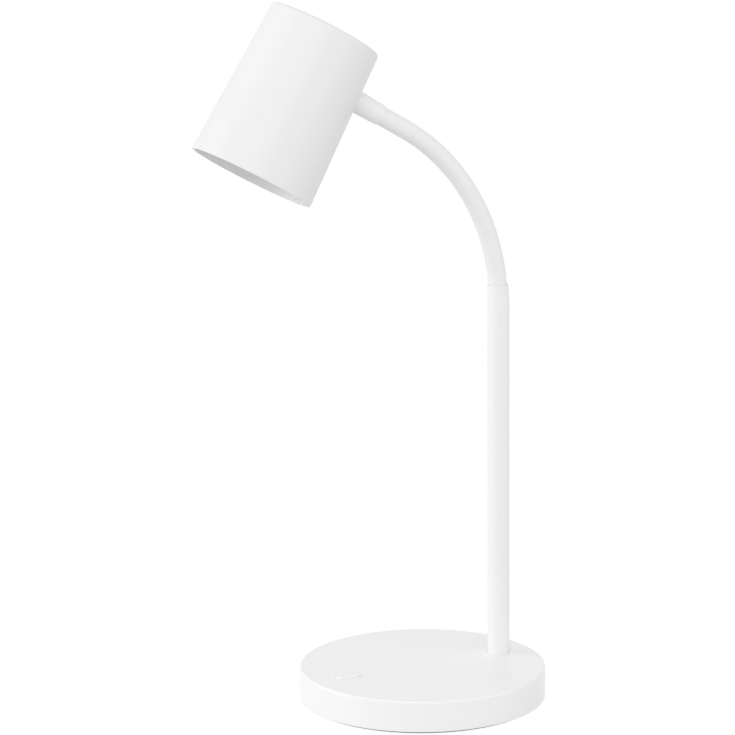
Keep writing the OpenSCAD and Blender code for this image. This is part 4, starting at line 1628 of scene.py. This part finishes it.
@dataclass(frozen=True)
class Viewpoint:
    """Where the camera stands, and how it looks at the lamp.

    Attributes:
        distance: From the lamp's axis to the camera, level.
        azimuth_deg: How far round the lamp the camera stands, from the front towards +X.
        height: The camera's height.
        yaw_deg: How far the camera turns right of the lamp's axis.
        pitch_deg: How far it looks down.
        roll_deg: How far it leans.
        lens_mm: Its focal length.
        sensor_mm: The width of its sensor.
    """

    distance: float = 2.33211
    azimuth_deg: float = 61.564
    height: float = 0.74714
    yaw_deg: float = -0.788
    pitch_deg: float = 13.051
    roll_deg: float = -0.453
    lens_mm: float = 195.30
    sensor_mm: float = 36.0

    def matrix(self) -> Matrix:
        """Work out the camera's place and direction.

        Returns:
            The camera's matrix in the world.
        """
        azimuth, yaw, pitch, roll = (math.radians(a) for a in (
            self.azimuth_deg, self.yaw_deg, self.pitch_deg, self.roll_deg))
        ahead = Vector((-math.sin(azimuth), math.cos(azimuth), 0.0))
        right = Vector((math.cos(azimuth), math.sin(azimuth), 0.0))
        turned = ahead * math.cos(yaw) + right * math.sin(yaw)
        side = right * math.cos(yaw) - ahead * math.sin(yaw)
        view = turned * math.cos(pitch) - UP * math.sin(pitch)
        top = UP * math.cos(pitch) + turned * math.sin(pitch)
        axes = (side * math.cos(roll) + top * math.sin(roll),
                top * math.cos(roll) - side * math.sin(roll), -view)
        aimed = Matrix([[axis[i] for axis in axes] for i in range(3)]).to_4x4()
        return Matrix.Translation(-ahead * self.distance + UP * self.height) @ aimed

    def build(self) -> None:
        """Put the camera in the scene."""
        camera = bpy.data.cameras.new("photo_camera")
        camera.sensor_width = self.sensor_mm
        camera.lens = self.lens_mm
        holder = bpy.data.objects.new("photo_camera", camera)
        holder.matrix_world = self.matrix()
        bpy.context.scene.collection.objects.link(holder)
        bpy.context.scene.camera = holder


@dataclass(frozen=True)
class Softbox:
    """A square area light that looks at the lamp's middle.

    Attributes:
        name: The light's name.
        azimuth_deg: How far round the lamp it stands, from the front towards +X.
        elevation_deg: How high it stands.
        power: Its power, in watts.
        distance: How far it stands from the lamp's middle.
        side: The length of its side.
    """

    name: str
    azimuth_deg: float
    elevation_deg: float
    power: float
    distance: float = 6.0
    side: float = 4.0

    def build(self, aim: Vector) -> None:
        """Put the light in the scene.

        Args:
            aim: The point that it looks at.
        """
        azimuth, elevation = math.radians(self.azimuth_deg), math.radians(self.elevation_deg)
        level = math.cos(elevation)
        outwards = Vector((level * math.sin(azimuth), -level * math.cos(azimuth),
                           math.sin(elevation)))
        light = bpy.data.lights.new(self.name, "AREA")
        light.size = self.side
        light.energy = self.power
        lamp = bpy.data.objects.new(self.name, light)
        lamp.location = aim + outwards * self.distance
        lamp.rotation_euler = outwards.to_track_quat("Z", "Y").to_euler()
        bpy.context.scene.collection.objects.link(lamp)


@dataclass
class Studio:
    """The pale floor, the soft light and the camera.

    Attributes:
        viewpoint: The camera's place.
        softboxes: The lights.
        fill: How bright the surroundings are to a matt surface, where 1 is white.
        floor_half: Half the floor's side.
        floor_drop: How far the floor lies below the foot pad, so that the two faces don't meet.
        floor_tone: The floor's colour, a grey, for the light that it throws back on the lamp.
        seen_glow: How bright the floor is to the camera where no light falls on it.
        seen_tone: The floor's colour to the camera, on top of that, which keeps the shadow.
    """

    viewpoint: Viewpoint
    softboxes: tuple[Softbox, ...]
    fill: float = 0.69
    floor_half: float = 12.0
    floor_drop: float = 0.05 * MM
    floor_tone: float = 0.74
    seen_glow: float = 0.95
    seen_tone: float = 0.08

    def build(self) -> None:
        """Build the whole studio."""
        self.viewpoint.build()
        self._world()
        self._floor()
        low, high = (Vector(corner) for corner in CAD_BOX)
        for softbox in self.softboxes:
            softbox.build((low + high) / 2)
            LOG.info("studio: %s", softbox.name)
        bpy.context.scene.view_settings.view_transform = "Standard"

    def _world(self) -> None:
        """Light the scene evenly, before a plain white backdrop."""
        world = bpy.data.worlds.new("studio_world")
        bpy.context.scene.world = world
        graph = Graph(world)
        plain = {"Color": (1.0, 1.0, 1.0)}
        fill, backdrop = (graph.add("ShaderNodeBackground", {**plain, "Strength": strength})
                          for strength in (self.fill, 1.0))
        mix = graph.mixed(graph.seen(), fill, backdrop)
        graph.add("ShaderNodeOutputWorld", {"Surface": mix.outputs[0]})

    def _floor(self) -> None:
        """Lay the floor: nearly white to the camera, with the lamp's shadow, clear from below."""
        half, level = self.floor_half, -self.floor_drop
        corners = [Vector((x * half, y * half, level))
                   for x, y in ((-1, -1), (1, -1), (1, 1), (-1, 1))]
        floor = as_object("floor", corners, [(0, 1, 2, 3)])
        material = bpy.data.materials.new("floor_white")
        graph = Graph(material)
        matt, seen_matt = (graph.add("ShaderNodeBsdfDiffuse", {"Color": (tone, tone, tone)})
                           for tone in (self.floor_tone, self.seen_tone))
        glow = graph.add("ShaderNodeEmission", {"Strength": self.seen_glow})
        both = graph.add("ShaderNodeAddShader", {0: seen_matt.outputs[0], 1: glow.outputs[0]})
        above = graph.mixed(graph.seen(), matt, both)
        below = graph.add("ShaderNodeBsdfTransparent")
        underside = graph.add("ShaderNodeNewGeometry").outputs["Backfacing"]
        sided = graph.mixed(underside, above, below)
        graph.add("ShaderNodeOutputMaterial", {"Surface": sided.outputs[0]})
        floor.data.materials.append(material)


SOFTBOXES = (
    Softbox("left_softbox", azimuth_deg=-28.0, elevation_deg=8.0, power=163.0),
    Softbox("right_softbox", azimuth_deg=60.0, elevation_deg=30.0, power=88.0),
    Softbox("rear_softbox", azimuth_deg=115.0, elevation_deg=20.0, power=45.0),
)


def main() -> None:
    """Set up the studio, then make each sub-assembly in turn."""
    logging.basicConfig(level=logging.INFO, format="%(message)s")
    Studio(Viewpoint(), SOFTBOXES).build()
    for part in (Base(), KeySwitch(), PowerInlet(), Pole(), Neck.from_frame(), Shade(), Light()):
        part.make()


if __name__ == "__main__":
    main()
